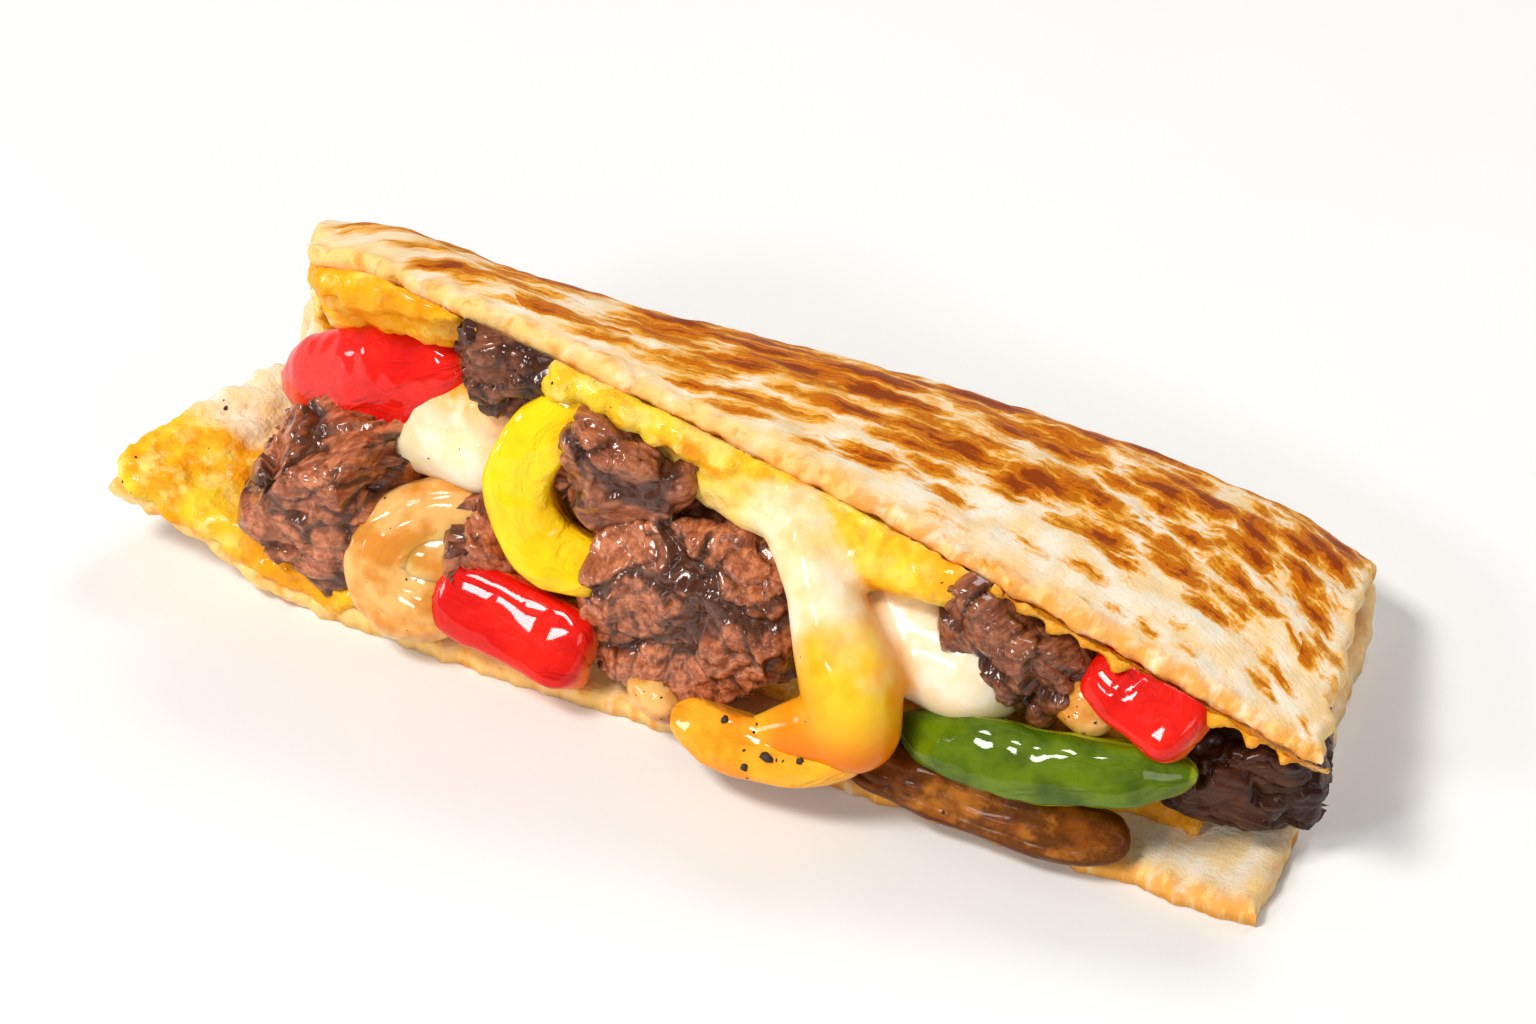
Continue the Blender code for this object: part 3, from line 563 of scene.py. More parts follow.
def cheese_material():
    """White and yellow cheese run together, with a lumpy fried rim."""
    glow = {"subsurface_weight": 0.20, "subsurface_scale": 0.003, "subsurface_radius": (1.0, 0.55, 0.2)}
    surface = {"specular_ior_level": 0.06, "coat_weight": 0.3, "coat_roughness": 0.06}
    material, tree = new_material("melted_cheeses", **glow, **surface)
    place, crust = place_mm(tree), attribute(tree, "crust")
    white = sway(attribute(tree, "white"), noise(place, 6.0, roughness=0.5), 0.6)
    yellow = blend(band(noise(place, 8.0), 0.38, 0.66), YELLOW_CHEESE, ORANGE_CHEESE)
    mottle = band(noise(place, 3.2, detail=4), 0.48, 0.62, 0.0, 0.8)
    yellow = blend(calc("MULTIPLY", mottle, crust), yellow, PALE_YELLOW_CHEESE)
    pale = blend(band(noise(place, 4.0), 0.4, 0.65), WHITE_CHEESE, SHADE_CHEESE)
    colour = blend(band(white, 0.25, 0.75), yellow, pale)
    amber = band(noise(place, 4.5), 0.28, 0.52)
    colour = blend(calc("MULTIPLY", amber, attribute(tree, "amber")), colour, ORANGE_CHEESE)
    colour = blend(attribute(tree, "foot"), colour, FOOT_CHEESE)
    fried = band(noise(place, 2.0, detail=4), 0.50, 0.72, 0.0, 0.55)
    fried = calc("MULTIPLY", fried, band(white, 0.3, 0.8, 1.0, 0.2))
    fried = calc("MULTIPLY", fried, crust)
    fried = calc("MULTIPLY_ADD", attribute(tree, "fried"), 0.75, fried, clamp=True)
    lumps = calc("MULTIPLY", noise(place, 0.9), calc("MULTIPLY_ADD", crust, 0.9, 0.20))
    roughness = band(crust, 0.0, 1.0, 0.30, 0.46)
    shade(tree, base_color=blend(fried, colour, FRIED_CHEESE), roughness=roughness, normal=bump(lumps, 0.35))
    return material


# The black is real char, and also painted shade in the steak's creases and on steak_right.
SEARED, LEAN, CHAR_AND_SHADE_COLOUR = (0.32, 0.080, 0.026), (0.68, 0.230, 0.100), (0.030, 0.006, 0.002)
SPECK_COLOURS = (0.012, 0.006, 0.004), (0.06, 0.028, 0.014)
FLOOR_COLOURS = (0.86, 0.86, 0.85), (0.89, 0.89, 0.88)


def steak_material():
    """Seared beef: dark red-brown fibres, black char on the crags, painted shade in the creases, and a shine
    of juice.
    """
    material, tree = new_material("seared_beef", specular_ior_level=0.12, coat_roughness=0.11)
    place, grain, burnt = place_mm(tree), attribute(tree, "grain", "Vector"), attribute(tree, "burnt")
    fibres = noise(stretch(grain, (0.16, 1.3, 1.3)), 1.0, detail=5, roughness=0.62)
    blotch = noise(place, 4.5, detail=4, roughness=0.6)
    colour = blend(band(fibres, 0.36, 0.66), SEARED, LEAN)
    colour = blend(band(blotch, 0.52, 0.66), colour, SEARED)
    warped = shift(grain, noise(grain, 4.0, detail=4, output="Color"), 5.0)
    from_crack = cells(stretch(warped, (0.15, 0.48, 0.48)), "DISTANCE_TO_EDGE")
    # Creases and the fine cracks between facets get painted shade, in the char colour.
    creases = band(attribute(tree, "crease"), 0.22, 0.90, 0.0, 0.85)
    cracks = band(from_crack, 0.0, 0.10, 0.20, 0.0)
    char = band(noise(place, 6.5, detail=5, roughness=0.7), 0.61, 0.73)
    # Char spots plus the blackening of the whole piece, which on steak_right is painted shade.
    char = calc("MULTIPLY_ADD", char, 0.5, burnt, clamp=True)
    for share in (creases, cracks, char):
        colour = blend(share, colour, CHAR_AND_SHADE_COLOUR)
    cracked = bump(band(from_crack, 0.0, 0.20), 0.10, bump(fibres, 0.24))
    shade(
        tree,
        base_color=colour,
        roughness=band(noise(place, 2.4), 0.35, 0.65, 0.22, 0.50),
        coat_weight=band(burnt, 0.3, 1.0, 0.85, 0.30),
        normal=bump(noise(place, 0.55), 0.04, cracked),
    )
    return material


def pepper_material(name, skin, flesh, deep):
    """Glossy fried pepper skin, paler where it is cut, with fine wrinkles."""
    glow = {"subsurface_weight": 0.06, "subsurface_scale": 0.002}
    surface = {"roughness": 0.40, "specular_ior_level": 0.05, "coat_weight": 0.6, "coat_roughness": 0.04}
    material, tree = new_material(name, **glow, **surface)
    place = place_mm(tree)
    colour = blend(band(noise(place, 5.5), 0.35, 0.68), skin, deep)
    cut = sway(attribute(tree, "cut"), noise(place, 2.0), 0.5)
    along = stretch(attribute(tree, "grain", "Vector"), (0.22, 0.42, 0.42))
    wrinkles = noise(along, 1.0, detail=4, roughness=0.5, distortion=0.8)
    normal = bump(noise(place, 0.5, detail=2), 0.02, bump(wrinkles, 0.90))
    shade(tree, base_color=blend(band(cut, 0.45, 0.85), colour, flesh), normal=normal)
    return material


def onion_material(name, browning_and_shade, gloss, pale, amber, brown):
    """Soft fried onion: translucent amber with fine veins along the petal and browned edges."""
    glow = {"subsurface_weight": 0.4, "subsurface_scale": 0.003, "subsurface_radius": (1.0, 0.5, 0.2)}
    surface = {"roughness": 0.38, "specular_ior_level": 0.08, "coat_weight": gloss, "coat_roughness": 0.06}
    material, tree = new_material(name, **glow, **surface)
    place = place_mm(tree)
    along = stretch(attribute(tree, "grain", "Vector"), (0.05, 1.0, 1.0))
    veins = noise(along, 1.0, roughness=0.6)
    colour = blend(band(noise(place, 5.0), 0.40, 0.62), pale, amber)
    colour = blend(band(veins, 0.55, 0.75, 0.0, 0.20), colour, brown)
    edges = calc("MULTIPLY_ADD", attribute(tree, "cut"), 0.35, noise(place, 3.6, detail=4, roughness=0.65))
    # The brown spreads further on the browned onion, partly as painted shade.
    edges = band(edges, 0.78 - browning_and_shade, 1.02 - browning_and_shade, 0.0, 0.85)
    dents = noise(place, 2.6, roughness=0.5)
    normal = bump(dents, 0.45, bump(veins, 0.03))
    shade(tree, base_color=blend(edges, colour, brown), normal=normal)
    return material


def speck_material():
    material, tree = new_material("cracked_pepper", roughness=0.6)
    shade(tree, base_color=blend(noise(place_mm(tree), 0.4), *SPECK_COLOURS))
    return material


# The tortilla


def crowded_steps(count, edge_share):
    """Steps from 0 to 1 that crowd towards both ends, to round the edges there."""
    rim = edge_share * np.array((0.0, 0.06, 0.2, 0.42, 0.7, 1.0))
    middle = np.linspace(edge_share, 1 - edge_share, count)[1:-1]
    return np.concatenate((rim, middle, 1 - rim[::-1]))


def rounding(share, edge_share):
    """How much of its thickness the sheet has at a place near its rounded edges."""
    inward = np.clip(np.minimum(share, 1 - share) / edge_share, 0, 1)
    return np.sqrt(np.maximum(0.03, 1 - (1 - inward) ** 2))


def build_tortilla(material):
    """The sheet as an outer and an inner skin, joined round its ragged, crusty rim."""
    u_steps, v_steps = crowded_steps(SHEET_STATIONS, ROUNDED_U), crowded_steps(SHEET_STEPS, ROUNDED_V)
    rows, columns = len(u_steps), len(v_steps)
    u, v = [a.ravel() for a in np.meshgrid(u_steps, v_steps, indexing="ij")]
    middle = sheet_point(u, v)
    along, around, out = sheet_directions(u, v)
    thick = SHEET_THICK / 2 * np.minimum(rounding(u, ROUNDED_U), rounding(v, ROUNDED_V))
    near_u = ease(1 - np.minimum(u, 1 - u) / CRUMBLY_U)
    near_v = ease(1 - np.minimum(v, 1 - v) / mix(CRUMBLY_V_LEFT, CRUMBLY_V_RIGHT, u))
    edge = np.maximum(near_u, near_v)
    rough, fine = Lattice(3), Lattice(4)
    tear = 0.8 * rough(middle, 3.4) + 0.4 * fine(middle, 1.5)
    middle = middle + along * (tear * near_u)[:, None] + around * (tear * near_v)[:, None]
    swell = rough(middle * (0.45, 1, 1), 5.0) + 0.5 * fine(middle, 2.6)
    crumbly = edge * (0.55 * fine(middle, 2.2) + 0.28 * rough(middle, 1.1))
    sections = middle.reshape(rows, columns, 3)
    arc = np.linalg.norm(np.diff(sections, axis=1, prepend=sections[:, :1]), axis=2).cumsum(axis=1).ravel()
    length = middle[:, 0] + np.maximum(0, middle[:, 0] - SHORT_MARKS_X) ** 2 / SHORT_MARKS_RUN

    upper = ease((v - FOLD_ENDS) / 0.1)
    flat = (v < FLAT_ENDS) & (u > TIP_CURL_SHARE)
    skins, places = [], []
    for side in (1, -1):
        relief = (0.40 * upper + 0.08) * swell * (1 if side > 0 else 0.4) + crumbly
        points = middle + out * (side * (thick + relief * np.minimum(1, thick)))[:, None]
        if side > 0:
            points[:, 2] = np.where(flat, np.minimum(points[:, 2], 0.12 * edge), points[:, 2])
        points[:, 2] = np.maximum(points[:, 2], 0.0)
        skins.append(points)
        places.append(np.stack((length, arc, side * thick), -1))
    faces = slab_faces(rows, columns)
    piece = add_piece("griddled_tortilla", np.concatenate(skins), faces, "tortilla", material)

    reach = (1 - v) / (1 - FOLD_ENDS)
    top = EDGE_GRIDDLE + TOP_RISE * ease((reach - 0.04) / mix(0.13, 0.34, u))
    top += BACK_RISE * ease((reach - 0.4) / 0.3) - LOW_END_FALL * ease((u - 0.5) / 0.4)
    griddle = np.where(v > FOLD_ENDS, top, np.where(v < FLAT_ENDS, UNDERSIDE_GRIDDLE, FOLD_GRIDDLE))
    griddle = griddle * (1 - 0.8 * near_v) * (1 - 0.5 * near_u)
    on_rim = (u == 0) | (u == 1) | (v == 0) | (v == 1)
    set_attributes(
        piece.data,
        griddle=np.concatenate((griddle, np.where(on_rim, griddle, -1.0))),
        edge=np.tile(np.maximum(near_v, 0.6 * near_u), 2),
        toast=np.tile(ease((u - 0.35) / 0.4) * near_v, 2),
        place=np.concatenate(places),
    )
    fix_normals(piece.data)


def take_apart(shell):
    """The points and faces of a bmesh, which is freed."""
    points = np.array([v.co[:] for v in shell.verts])
    faces = [[v.index for v in f.verts] for f in shell.faces]
    shell.free()
    return points, faces


def ball_shape(subdivisions):
    shell = bmesh.new()
    bmesh.ops.create_icosphere(shell, subdivisions=subdivisions, radius=1)
    return take_apart(shell)


def fix_normals(mesh):
    shell = bmesh.new()
    shell.from_mesh(mesh)
    bmesh.ops.recalc_face_normals(shell, faces=shell.faces[:])
    shell.to_mesh(mesh)
    shell.free()


# Steak


def cube_surface(cuts):
    """Points and quads of a cube from -1 to 1 with each face cut into a grid."""
    shell = bmesh.new()
    bmesh.ops.create_cube(shell, size=2)
    bmesh.ops.subdivide_edges(shell, edges=shell.edges[:], cuts=cuts, use_grid_fill=True)
    return take_apart(shell)


def build_steak(name, centre, size, turn_deg, seed, material):
    """A rough-cut cube of meat: knife-cut facets, deep creases, and crinkled fibres that run one way."""
    cube, faces = cube_surface(round(max(size) * STEAK_CUTS_PER_MM))
    half = np.array(size) / 2
    direction = cube / ((np.abs(cube) ** STEAK_SQUARENESS).sum(axis=1) ** (1 / STEAK_SQUARENESS))[:, None]
    points = direction * half
    outward = unit(np.sign(direction) * np.abs(direction) ** (STEAK_SQUARENESS - 1) / half)
    draw = np.random.default_rng(100 + seed)
    cut_off = []
    for _ in range(STEAK_KNIFE_CUTS):
        normal = draw.choice((-1, 1), size=3) + draw.normal(scale=0.45, size=3)
        cut_off.append((normal, draw.uniform(*STEAK_CUT_SHARES)))
    for normal, share in (*cut_off, *STEAK_MISSING_CORNERS.get(name, ())):
        normal = unit(np.array(normal))
        over = np.maximum(0, points @ normal - np.abs(points @ normal).max() * share)
        points -= normal * (over * STEAK_CUT_FLATNESS)[:, None]

    lumps, cracks, fine = Lattice(seed), Lattice(20 + seed), Lattice(40 + seed)
    grain = points @ np.array(Euler((0.25 * seed, 0.35, 0.9 * seed)).to_matrix())
    warp = np.stack([fine(points + 40 * k, 4.5) for k in range(3)], -1)
    bent = grain + 1.1 * warp
    small_facets, small_borders = cell_facets(bent * (0.42, 1.0, 1.0), SMALL_FACET)
    large_facets, large_borders = cell_facets(bent * (0.60, 1.0, 1.0) + 31.0, LARGE_FACET)
    crinkle = mix(0.55, 1.0, ease(small_borders / 0.14)) * mix(0.3, 1.0, ease(large_borders / 0.10))
    relief = {
        "lumps": lumps(points, LUMP),
        "small_facets": small_facets,
        "large_facets": large_facets,
        "threads": fine(bent * (0.3, 1, 1), THREAD),
        "crinkle": crinkle,
        "clefts": cracks.ridges(points * 0.8 + 0.9 * warp, CLEFT) ** 3,
        "grooves": cracks.ridges(bent * (0.20, 1.0, 1.0), GROOVE) ** 3,
        "breaks": lumps.ridges(bent * (1.0, 0.35, 0.60) + 17.0, BREAK) ** 4,
    }
    height = STEAK_OUTSET + sum(STEAK_RELIEF[kind] * rise for kind, rise in relief.items())
    # How much painted shade, in the char colour, each point gets from the creases and facet borders.
    crease = sum(dark * relief[kind] for kind, dark in STEAK_CREASE_SHADE.items())
    crease += BORDER_SHADE * (1 - crinkle)
    turn = Euler([math.radians(a) for a in turn_deg]).to_matrix()
    placed = (points + outward * height[:, None]) @ np.array(turn).T + centre
    piece = add_piece(name + "_seared", tuck_under(placed), faces, name, material)
    # Char on most pieces; on steak_right the blackening is painted shade.
    burnt = np.full(len(points), STEAK_CHAR_AND_SHADE.get(name, 0.0))
    set_attributes(piece.data, grain=grain, burnt=burnt, crease=np.clip(crease, 0, 1))


# Peppers and onion


def curve_through(points, count):
    """Evenly spaced points on a smooth curve through a few points, and its length."""
    knots = np.array(points, dtype=float)
    first, last = 2 * knots[0] - knots[1], 2 * knots[-1] - knots[-2]
    knots = np.concatenate(([first], knots, [last]))
    t = np.linspace(0, 1, 40, endpoint=False)[:, None]
    spans = [smooth_span(*near, t) for near in zip(knots, knots[1:], knots[2:], knots[3:])]
    fine = np.concatenate(spans + [knots[-2:-1]])
    reached = np.concatenate(([0], np.cumsum(np.linalg.norm(np.diff(fine, axis=0), axis=1))))
    goals = np.linspace(0, reached[-1], count)
    return np.stack([np.interp(goals, reached, fine[:, k]) for k in range(3)], -1), reached[-1]


def strip_surface(route, width, thick, curl, bluntness, seed, squareness, grooves=()):
    """A strip swept along its route, with a rounded flat section, skin outside and cut at its edges."""
    _, length = curve_through(route, 2)
    rings = max(24, round(length / STRIP_RING_SPACING))
    line, _ = curve_through(route, rings + 1)
    along = unit(np.gradient(line, axis=0))
    out = unit(STRIP_SKIN_SIDE - (along @ STRIP_SKIN_SIDE)[:, None] * along)
    across = np.cross(along, out)
    from_middle = np.abs(np.linspace(-1, 1, rings + 1))
    taper = np.maximum(0.30, (1 - np.minimum(0.96, from_middle) ** bluntness) ** 0.5)
    taper *= np.sqrt(np.clip(1 - ((from_middle - 1) / 0.06 + 1).clip(0, 1) ** 2, 0.02, 1))
    angle = 2 * math.pi * (np.arange(STRIP_SIDES) + 0.5) / STRIP_SIDES
    side = np.abs(np.cos(angle)) ** (2 / squareness) * np.sign(np.cos(angle))
    front = np.abs(np.sin(angle)) ** (2 / squareness) * np.sign(np.sin(angle))
    offset = across[:, None] * (side * width / 2)[None, :, None] * taper[:, None, None]
    rise = front[None, :] * thick / 2 * taper[:, None] - curl * side[None, :] ** 2
    for place, depth in grooves:
        groove = depth * np.exp(-(((side - place) / GROOVE_WIDTH) ** 2)) * (front > 0.5)
        rise = rise - groove * ease((1 - from_middle[:, None]) / 0.1)
    points = (line[:, None] + offset + out[:, None] * rise[:, :, None]).reshape(-1, 3)
    rough = Lattice(60 + seed)
    swell = [rough(points + 50 * k, 6.5) + 0.35 * rough(points - 30 * k, 2.4) for k in range(3)]
    points = points + STRIP_WOBBLE * np.stack(swell, -1)
    faces = grid_faces(rings + 1, STRIP_SIDES, closed=True)
    faces += [list(range(STRIP_SIDES)), [rings * STRIP_SIDES + k for k in range(STRIP_SIDES)][::-1]]
    reach = np.linspace(0, length, rings + 1)[:, None]
    grain = np.stack(np.broadcast_arrays(reach, side * width / 2, front * thick / 2), -1).reshape(-1, 3)
    cut = np.maximum(np.abs(side) ** 3 * (front < 0.75), from_middle[:, None] ** 14)
    cut = np.maximum(cut, (front < -0.35) * 0.9)
    return points, faces, grain, cut.ravel()


def build_strip(name, kind, sizes, seed, material):
    """One strip with its petal inside, if it has one. sizes is its row in STRIPS."""
    squareness = ONION_SQUARENESS if kind == "onion" else PEPPER_SQUARENESS
    points, faces, grain, cut = strip_surface(*sizes, seed, squareness, GROOVES.get(name, ()))
    if name in INNER_PETALS:
        inner, inner_faces, inner_grain, inner_cut = strip_surface(*INNER_PETALS[name], seed, squareness)
        faces = faces + [[n + len(points) for n in face] for face in inner_faces]
        points, grain = np.concatenate((points, inner)), np.concatenate((grain, inner_grain))
        cut = np.concatenate((cut, inner_cut))
    piece = add_piece(name + "_fried", tuck_under(points), faces, name, material)
    set_attributes(piece.data, grain=grain, cut=cut)
    fix_normals(piece.data)
    return piece


# Melted cheese


class Shells:
    """Closed shells gathered into one mesh, to be melted together."""

    def __init__(self):
        self.points, self.faces, self.count = [], [], 0
        self.ball_points, self.ball_faces = ball_shape(3)

    def add(self, points, faces):
        self.points.append(np.asarray(points))
        self.faces += [[k + self.count for k in f] for f in faces]
        self.count += len(points)

    def strand(self, start, end, start_radius, end_radius):
        """A strand of balls strung closely enough to fuse."""
        start, end = np.array(start), np.array(end)
        count = max(2, math.ceil(np.linalg.norm(end - start) / (0.35 * min(start_radius, end_radius))) + 1)
        for share in np.linspace(0, 1, count):
            radius = mix(start_radius, end_radius, share)
            self.add(self.ball_points * radius + mix(start, end, share), self.ball_faces)


def sheet_grid(u_low, u_high, v_low, v_high, rows, columns, depth):
    u, v = np.meshgrid(np.linspace(u_low, u_high, rows), np.linspace(v_low, v_high, columns), indexing="ij")
    return inside_sheet(u.ravel(), v.ravel(), depth).reshape(rows, columns, 3)


def add_core(shells):
    """The filling between the two layers, as loops round its section closed at both ends."""
    rows, columns = 60, 40
    loops = sheet_grid(CORE_LEFT_SHARE, CORE_RIGHT_SHARE, 0.03, 0.93, rows, columns, CHEESE_START_DEPTH)
    u = np.linspace(CORE_LEFT_SHARE, CORE_RIGHT_SHARE, rows)
    recess = mix(LEFT_RECESS, CHEESE_RECESS, ease((u - CORE_LEFT_SHARE) / RECESS_EASE_SHARE))
    loops[:, (0, -1), 1] += recess[:, None]
    faces = grid_faces(rows, columns, closed=True)
    faces += [list(range(columns)), [(rows - 1) * columns + k for k in range(columns)][::-1]]
    shells.add(loops.reshape(-1, 3), faces)


def add_rim(shells):
    """The lumpy cheese that fried against the griddle under the upper layer's cut edge."""
    draw = np.random.default_rng(RIM_BEAD_SEED)
    count = round((UPPER_RIGHT_X - UPPER_LEFT_X) / RIM_BEAD_SPACING)
    for k in range(count):
        u = mix(0.02, 0.97, k / (count - 1))
        radius = draw.uniform(RIM_BEAD_SMALL, RIM_BEAD_LARGE)
        radius *= mix(1, RIM_BEAD_RIGHT_SHARE, ease((u - 0.56) / 0.16))
        if RIM_GAP_START < u < RIM_GAP_END:
            radius *= RIM_GAP_SHARE
        centre = inside_sheet(u, 0.99, SHEET_THICK * 0.35 + radius * 0.25)[0] - (0, RIM_BEAD_FORWARD, 0)
        shells.strand(centre, centre + (RIM_BEAD_SPACING, 1.5, 0), radius, radius * BEAD_TAPER)


def add_end_beads(shells):
    """Small lumps along the rim of the open left end and the start of the lower cut edge."""
    draw = np.random.default_rng(END_BEAD_SEED)
    left_edge = [(0.014, v) for v in np.linspace(0.01, 0.97, 46)]
    front_edge = [(u, 0.012) for u in np.linspace(0.02, 0.22, 16)]
    for u, v in left_edge + front_edge:
        radius = draw.uniform(*END_BEAD_RADII)
        centre = inside_sheet(u, v, SHEET_THICK / 2 + draw.uniform(-0.2, 1.2))[0]
        shells.strand(centre, centre + draw.normal(scale=0.5, size=3), radius, radius * BEAD_TAPER)


def near_strands(points):
    """How near each point is to the strands, and the whiteness and crust of those near it."""
    total, white, crust = np.full(len(points), 1e-6), np.zeros(len(points)), np.zeros(len(points))
    for start, end, start_radius, end_radius, whiteness, crustiness in CHEESE_STRANDS:
        start, run = np.array(start), np.subtract(end, start)
        share = np.clip(((points - start) @ run) / (run @ run), 0, 1)
        gap = np.linalg.norm(points - start - share[:, None] * run, axis=1)
        gap = np.maximum(0, gap - mix(start_radius, end_radius, share))
        weight = np.exp(-((gap / STRAND_BLUR) ** 2)) + 1e-6
        total += weight
        white += weight * whiteness
        crust += weight * crustiness
    return np.clip(total, 0, 1), white / total, crust / total


def build_cheese(material):
    shells = Shells()
    add_core(shells)
    depths, rows, columns = (CHEESE_START_DEPTH, SHEET_THICK / 2 + LINING_THICK), 40, 90
    skins = [sheet_grid(0.006, LINING_END_SHARE, 0.008, 0.975, rows, columns, depth) for depth in depths]
    shells.add(np.concatenate(skins).reshape(-1, 3), slab_faces(rows, columns))
    add_end_beads(shells)
    add_rim(shells)
    for strand in CHEESE_STRANDS:
        shells.strand(*strand[:4])
    mesh = bpy.data.meshes.new("cheese_shells")
    mesh.from_pydata((np.concatenate(shells.points) * MM).tolist(), [], shells.faces)
    fix_normals(mesh)
    melt = put_in_scene("cheese_shells", mesh)
    fuse = melt.modifiers.new("melt", "REMESH")
    fuse.mode = "VOXEL"
    fuse.voxel_size = CHEESE_VOXEL * MM
    soften = melt.modifiers.new("soften", "SMOOTH")
    soften.iterations = CHEESE_SMOOTHING
    graph = bpy.context.evaluated_depsgraph_get()
    fused = bpy.data.meshes.new_from_object(melt.evaluated_get(graph))
    bpy.data.objects.remove(melt)
    bpy.data.meshes.remove(mesh)

    points = read_vectors(fused.vertices, "co") / MM
    normals = read_vectors(fused.vertex_normals, "vector")
    near, strand_white, strand_crust = near_strands(points)
    crust = 1 - ease((near - 0.15) / 0.5) * (1 - strand_crust)
    rough, fine = Lattice(80), Lattice(81)
    lumps = crust * (CRUST_LUMP * rough(points, 2.8) + CRUST_GRAIN * fine(points, 1.3))
    lumps += CHEESE_SWELL * rough(points, 6.0)
    points = tuck_under(points + normals * lumps[:, None])
    fused.vertices.foreach_set("co", to_row(points).ravel())
    piece = add_mesh("melted_cheeses", fused, "melted_cheese", material)

    x, y, z = points.T
    low_left = ease((24 - z) / 6) * ease((18 - x) / 8) * ease((y - 6) / 7)
    lining = ease((46 - x) / 10) * ease((z - 24) / 6)
    below_lining = ease((20 - z) / 6) * ease((x - 9) / 6) * ease((30 - x) / 6)
    set_attributes(
        piece.data,
        foot=ease((19 - z) / 8) * ease((x - 74) / 8) * ease((2 - y) / 3),
        white=np.clip(strand_white * near + 0.66 * low_left, 0, 1),
        crust=crust,
        fried=crust * ease((x - 88) / 14),
        amber=np.maximum(lining, below_lining),
    )
    return piece


# Cracked pepper and char

FLAKE_POINTS, FLAKE_FACES = ball_shape(1)


def facing_faces(piece):
    """Middles, normals and areas of the faces that look towards the open cut, in millimetres."""
    polygons = piece.data.polygons
    middles, normals = read_vectors(polygons, "center") / MM + ORIGIN, read_vectors(polygons, "normal")
    areas = np.empty(len(polygons))
    polygons.foreach_get("area", areas)
    seen = normals @ unit(np.array(CUT_SIDE)) > LEAST_FACING
    return middles[seen], normals[seen], areas[seen]


def flake(draw, middle, normal, radius):
    """A flat angular grain that lies on a surface."""
    shape = FLAKE_POINTS * (radius, radius * draw.uniform(0.5, 0.9), radius * 0.4)
    shape = shape * draw.uniform(0.75, 1.2, size=(len(shape), 1))
    spin = Matrix.Rotation(draw.uniform(0, math.tau), 3, "Z")
    turn = Vector(normal).to_track_quat("Z", "Y").to_matrix() @ spin
    return shape @ np.array(turn).T + middle + normal * radius * 0.12


def build_flakes(name, pieces, count, small, large, seed, material, near=None, reach=0.0):
    """Grains scattered over pieces, or only round one place on them."""
    draw = np.random.default_rng(seed)
    points, faces = [], []
    for piece in pieces:
        middles, normals, areas = facing_faces(piece)
        if near is not None:
            close = np.linalg.norm(middles - near, axis=1) < reach
            middles, normals, areas = middles[close], normals[close], areas[close]
        for k in draw.choice(len(areas), size=count, p=areas / areas.sum()):
            radius = small * (large / small) ** draw.uniform() ** 2
            faces += [[n + len(points) * len(FLAKE_POINTS) for n in f] for f in FLAKE_FACES]
            points.append(flake(draw, middles[k], normals[k], radius))
    add_piece(name, np.concatenate(points), faces, None, material)


# Camera, light and floor


def view_axes(azimuth_deg, elevation_deg):
    azimuth, elevation = math.radians(azimuth_deg), math.radians(elevation_deg)
    level = math.cos(elevation)
    back = Vector((math.sin(azimuth) * level, -math.cos(azimuth) * level, math.sin(elevation)))
    right = Vector((0, 0, 1)).cross(back).normalized()
    return right, back.cross(right), back


def add_camera():
    back = view_axes(CAMERA_AZIMUTH_DEG, CAMERA_ELEVATION_DEG)[2]
    place = Vector(to_row(CAMERA_PIVOT_MM)) + back * CAMERA_DISTANCE_MM * MM
    aim = Vector(to_row(AIM_MM))
    data = bpy.data.cameras.new("photo_camera")
    data.lens = CAMERA_LENS_MM
    data.sensor_width = SENSOR_MM
    data.clip_start = 0.01
    camera = put_in_scene("photo_camera", data)
    camera.location = place
    camera.rotation_euler = (aim - place).to_track_quat("-Z", "Y").to_euler()
    bpy.context.scene.camera = camera


def add_softbox(name, azimuth_deg, elevation_deg, distance, size, power, colour=(1, 1, 1)):
    right, up, back = view_axes(azimuth_deg, elevation_deg)
    data = bpy.data.lights.new(name, "AREA")
    data.shape = "RECTANGLE"
    data.size = size
    data.size_y = size * SOFTBOX_ASPECT
    data.energy = power
    data.color = colour
    lamp = put_in_scene(name, data)
    lamp.location = back * distance
    lamp.rotation_euler = Matrix((right, up, back)).transposed().to_euler()


def add_floor():
    mesh = bpy.data.meshes.new("pale_floor")
    corners = [(x * FLOOR_REACH, y * FLOOR_REACH, 0) for x, y in ((-1, -1), (1, -1), (1, 1), (-1, 1))]
    mesh.from_pydata(corners, [], [(0, 1, 2, 3)])
    material, tree = new_material("pale_floor", roughness=0.6)
    shade(tree, base_color=blend(noise(place_mm(tree), 40.0), *FLOOR_COLOURS))
    mesh.materials.append(material)
    floor = put_in_scene("pale_floor", mesh)


def add_lights():
    world = bpy.data.worlds.new("studio")
    bpy.context.scene.world = world
    world.use_nodes = True
    sky = world.node_tree.nodes["Background"].inputs
    sky["Color"].default_value = (1, 1, 1, 1)
    sky["Strength"].default_value = WORLD_STRENGTH
    for name, values in LIGHTS.items():
        add_softbox(name, *values)
    bpy.context.scene.view_settings.view_transform = "Standard"


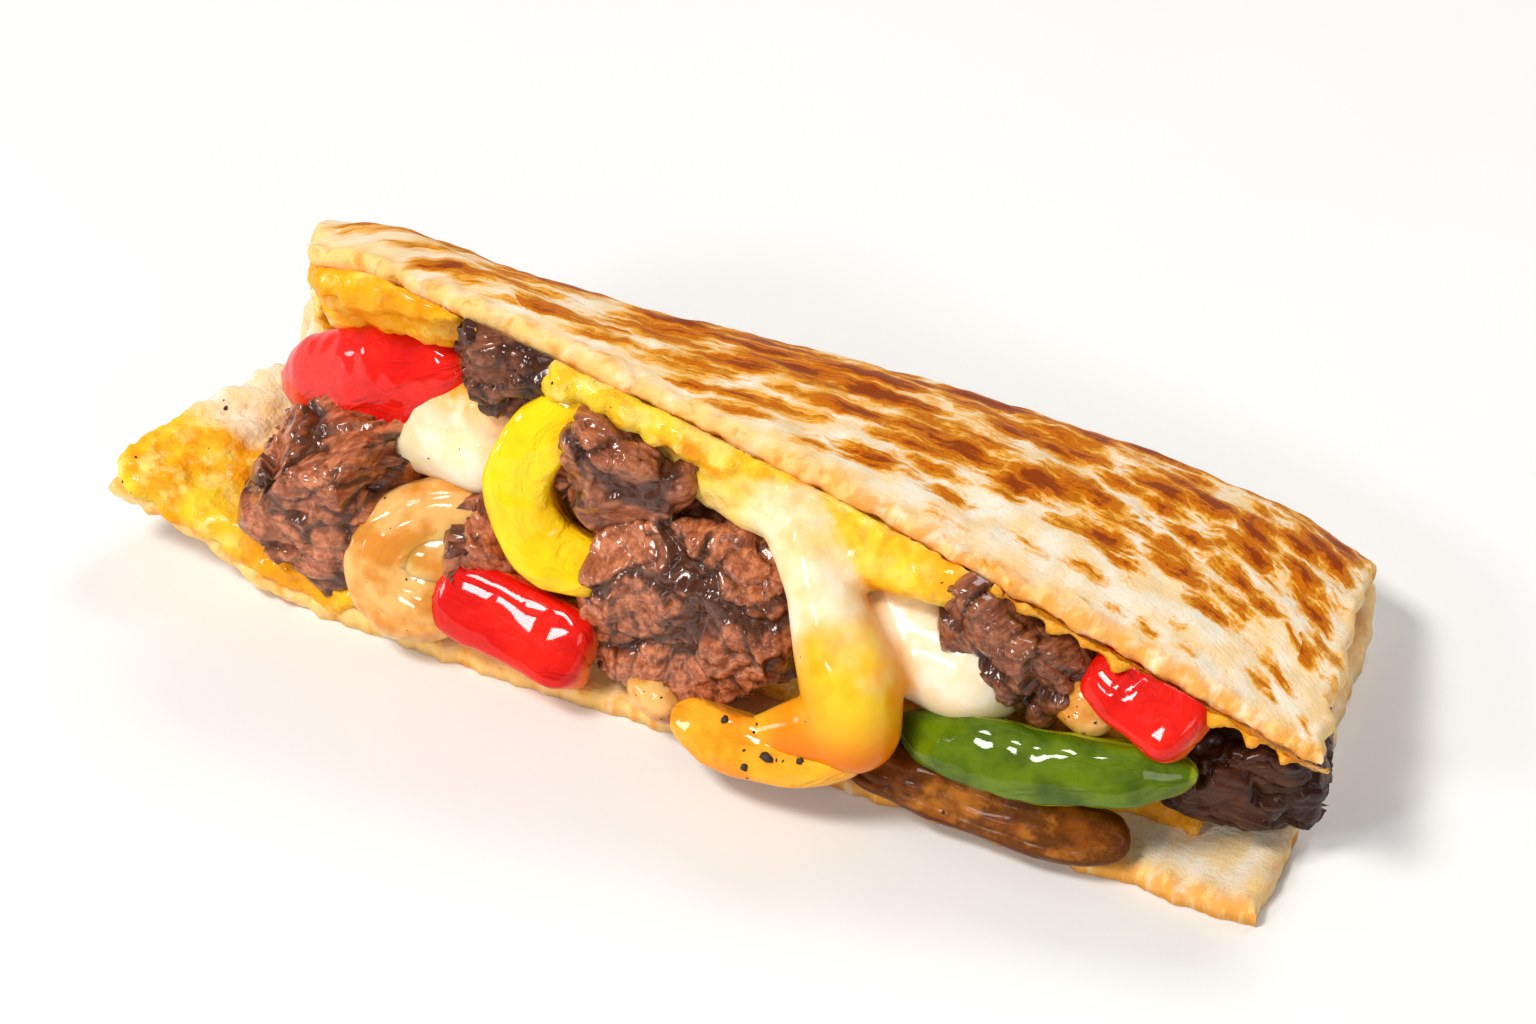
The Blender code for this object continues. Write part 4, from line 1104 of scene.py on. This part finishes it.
# Skin, cut flesh and deeper patches of each kind of pepper.
PEPPERS = {
    "red_pepper": ((0.86, 0.012, 0.003), (0.92, 0.13, 0.02), (0.66, 0.004, 0.002)),
    "yellow_pepper": ((0.98, 0.66, 0.004), (0.94, 0.38, 0.006), (0.96, 0.50, 0.003)),
    "orange_pepper": ((0.95, 0.46, 0.020), (0.92, 0.38, 0.020), (0.90, 0.27, 0.004)),
    "green_pepper": ((0.125, 0.20, 0.001), (0.38, 0.46, 0.01), (0.050, 0.100, 0.001)),
}
# How browned and how glossy each kind of onion is, and its pale, amber and brown colours. The browned onion's
# darker colours and wider brown are partly browning and partly painted shade.
ONIONS = {
    "soft_onion": (0.0, 0.6, (0.86, 0.48, 0.15), (0.70, 0.26, 0.030), (0.33, 0.09, 0.008)),
    "browned_onion_with_painted_shade": (0.42, 0.12, (0.44, 0.150, 0.016), (0.24, 0.062, 0.004), (0.08, 0.018, 0.001)),
}


def build_fillings():
    steak = steak_material()
    for name, sizes in STEAKS.items():
        build_steak(name, *sizes, steak)
    coats = {kind: pepper_material(kind + "_skin", *colours) for kind, colours in PEPPERS.items()}
    coats["onion"], shaded_brown_onion = [onion_material(name, *look) for name, look in ONIONS.items()]
    # The strip low along the front right gets the darker onion, which carries painted shade.
    own_coats = {"onion_strip_right": shaded_brown_onion, "yellow_pepper_front": coats["orange_pepper"]}
    made = {}
    for seed, (name, sizes) in enumerate(STRIPS.items()):
        kind = "onion" if name.startswith("onion") else "_".join(name.split("_")[:2])
        made[name] = build_strip(name, kind, sizes, seed, own_coats.get(name, coats[kind]))
    return made


def main():
    build_tortilla(tortilla_material())
    strips = build_fillings()
    cheese = build_cheese(cheese_material())
    pepper = speck_material()
    build_flakes("cracked_pepper_on_cheese", [cheese], 110, 0.10, 0.34, 5, pepper)
    onions = [piece for name, piece in strips.items() if name.startswith("onion")]
    build_flakes("cracked_pepper_on_onion", onions, 9, 0.10, 0.30, 6, pepper)
    front = [strips["yellow_pepper_front"]]
    build_flakes("char_on_pepper", front, 20, 0.20, 1.0, 7, pepper, CHAR_SPOT, CHAR_REACH)
    add_floor()
    add_camera()
    add_lights()


main()
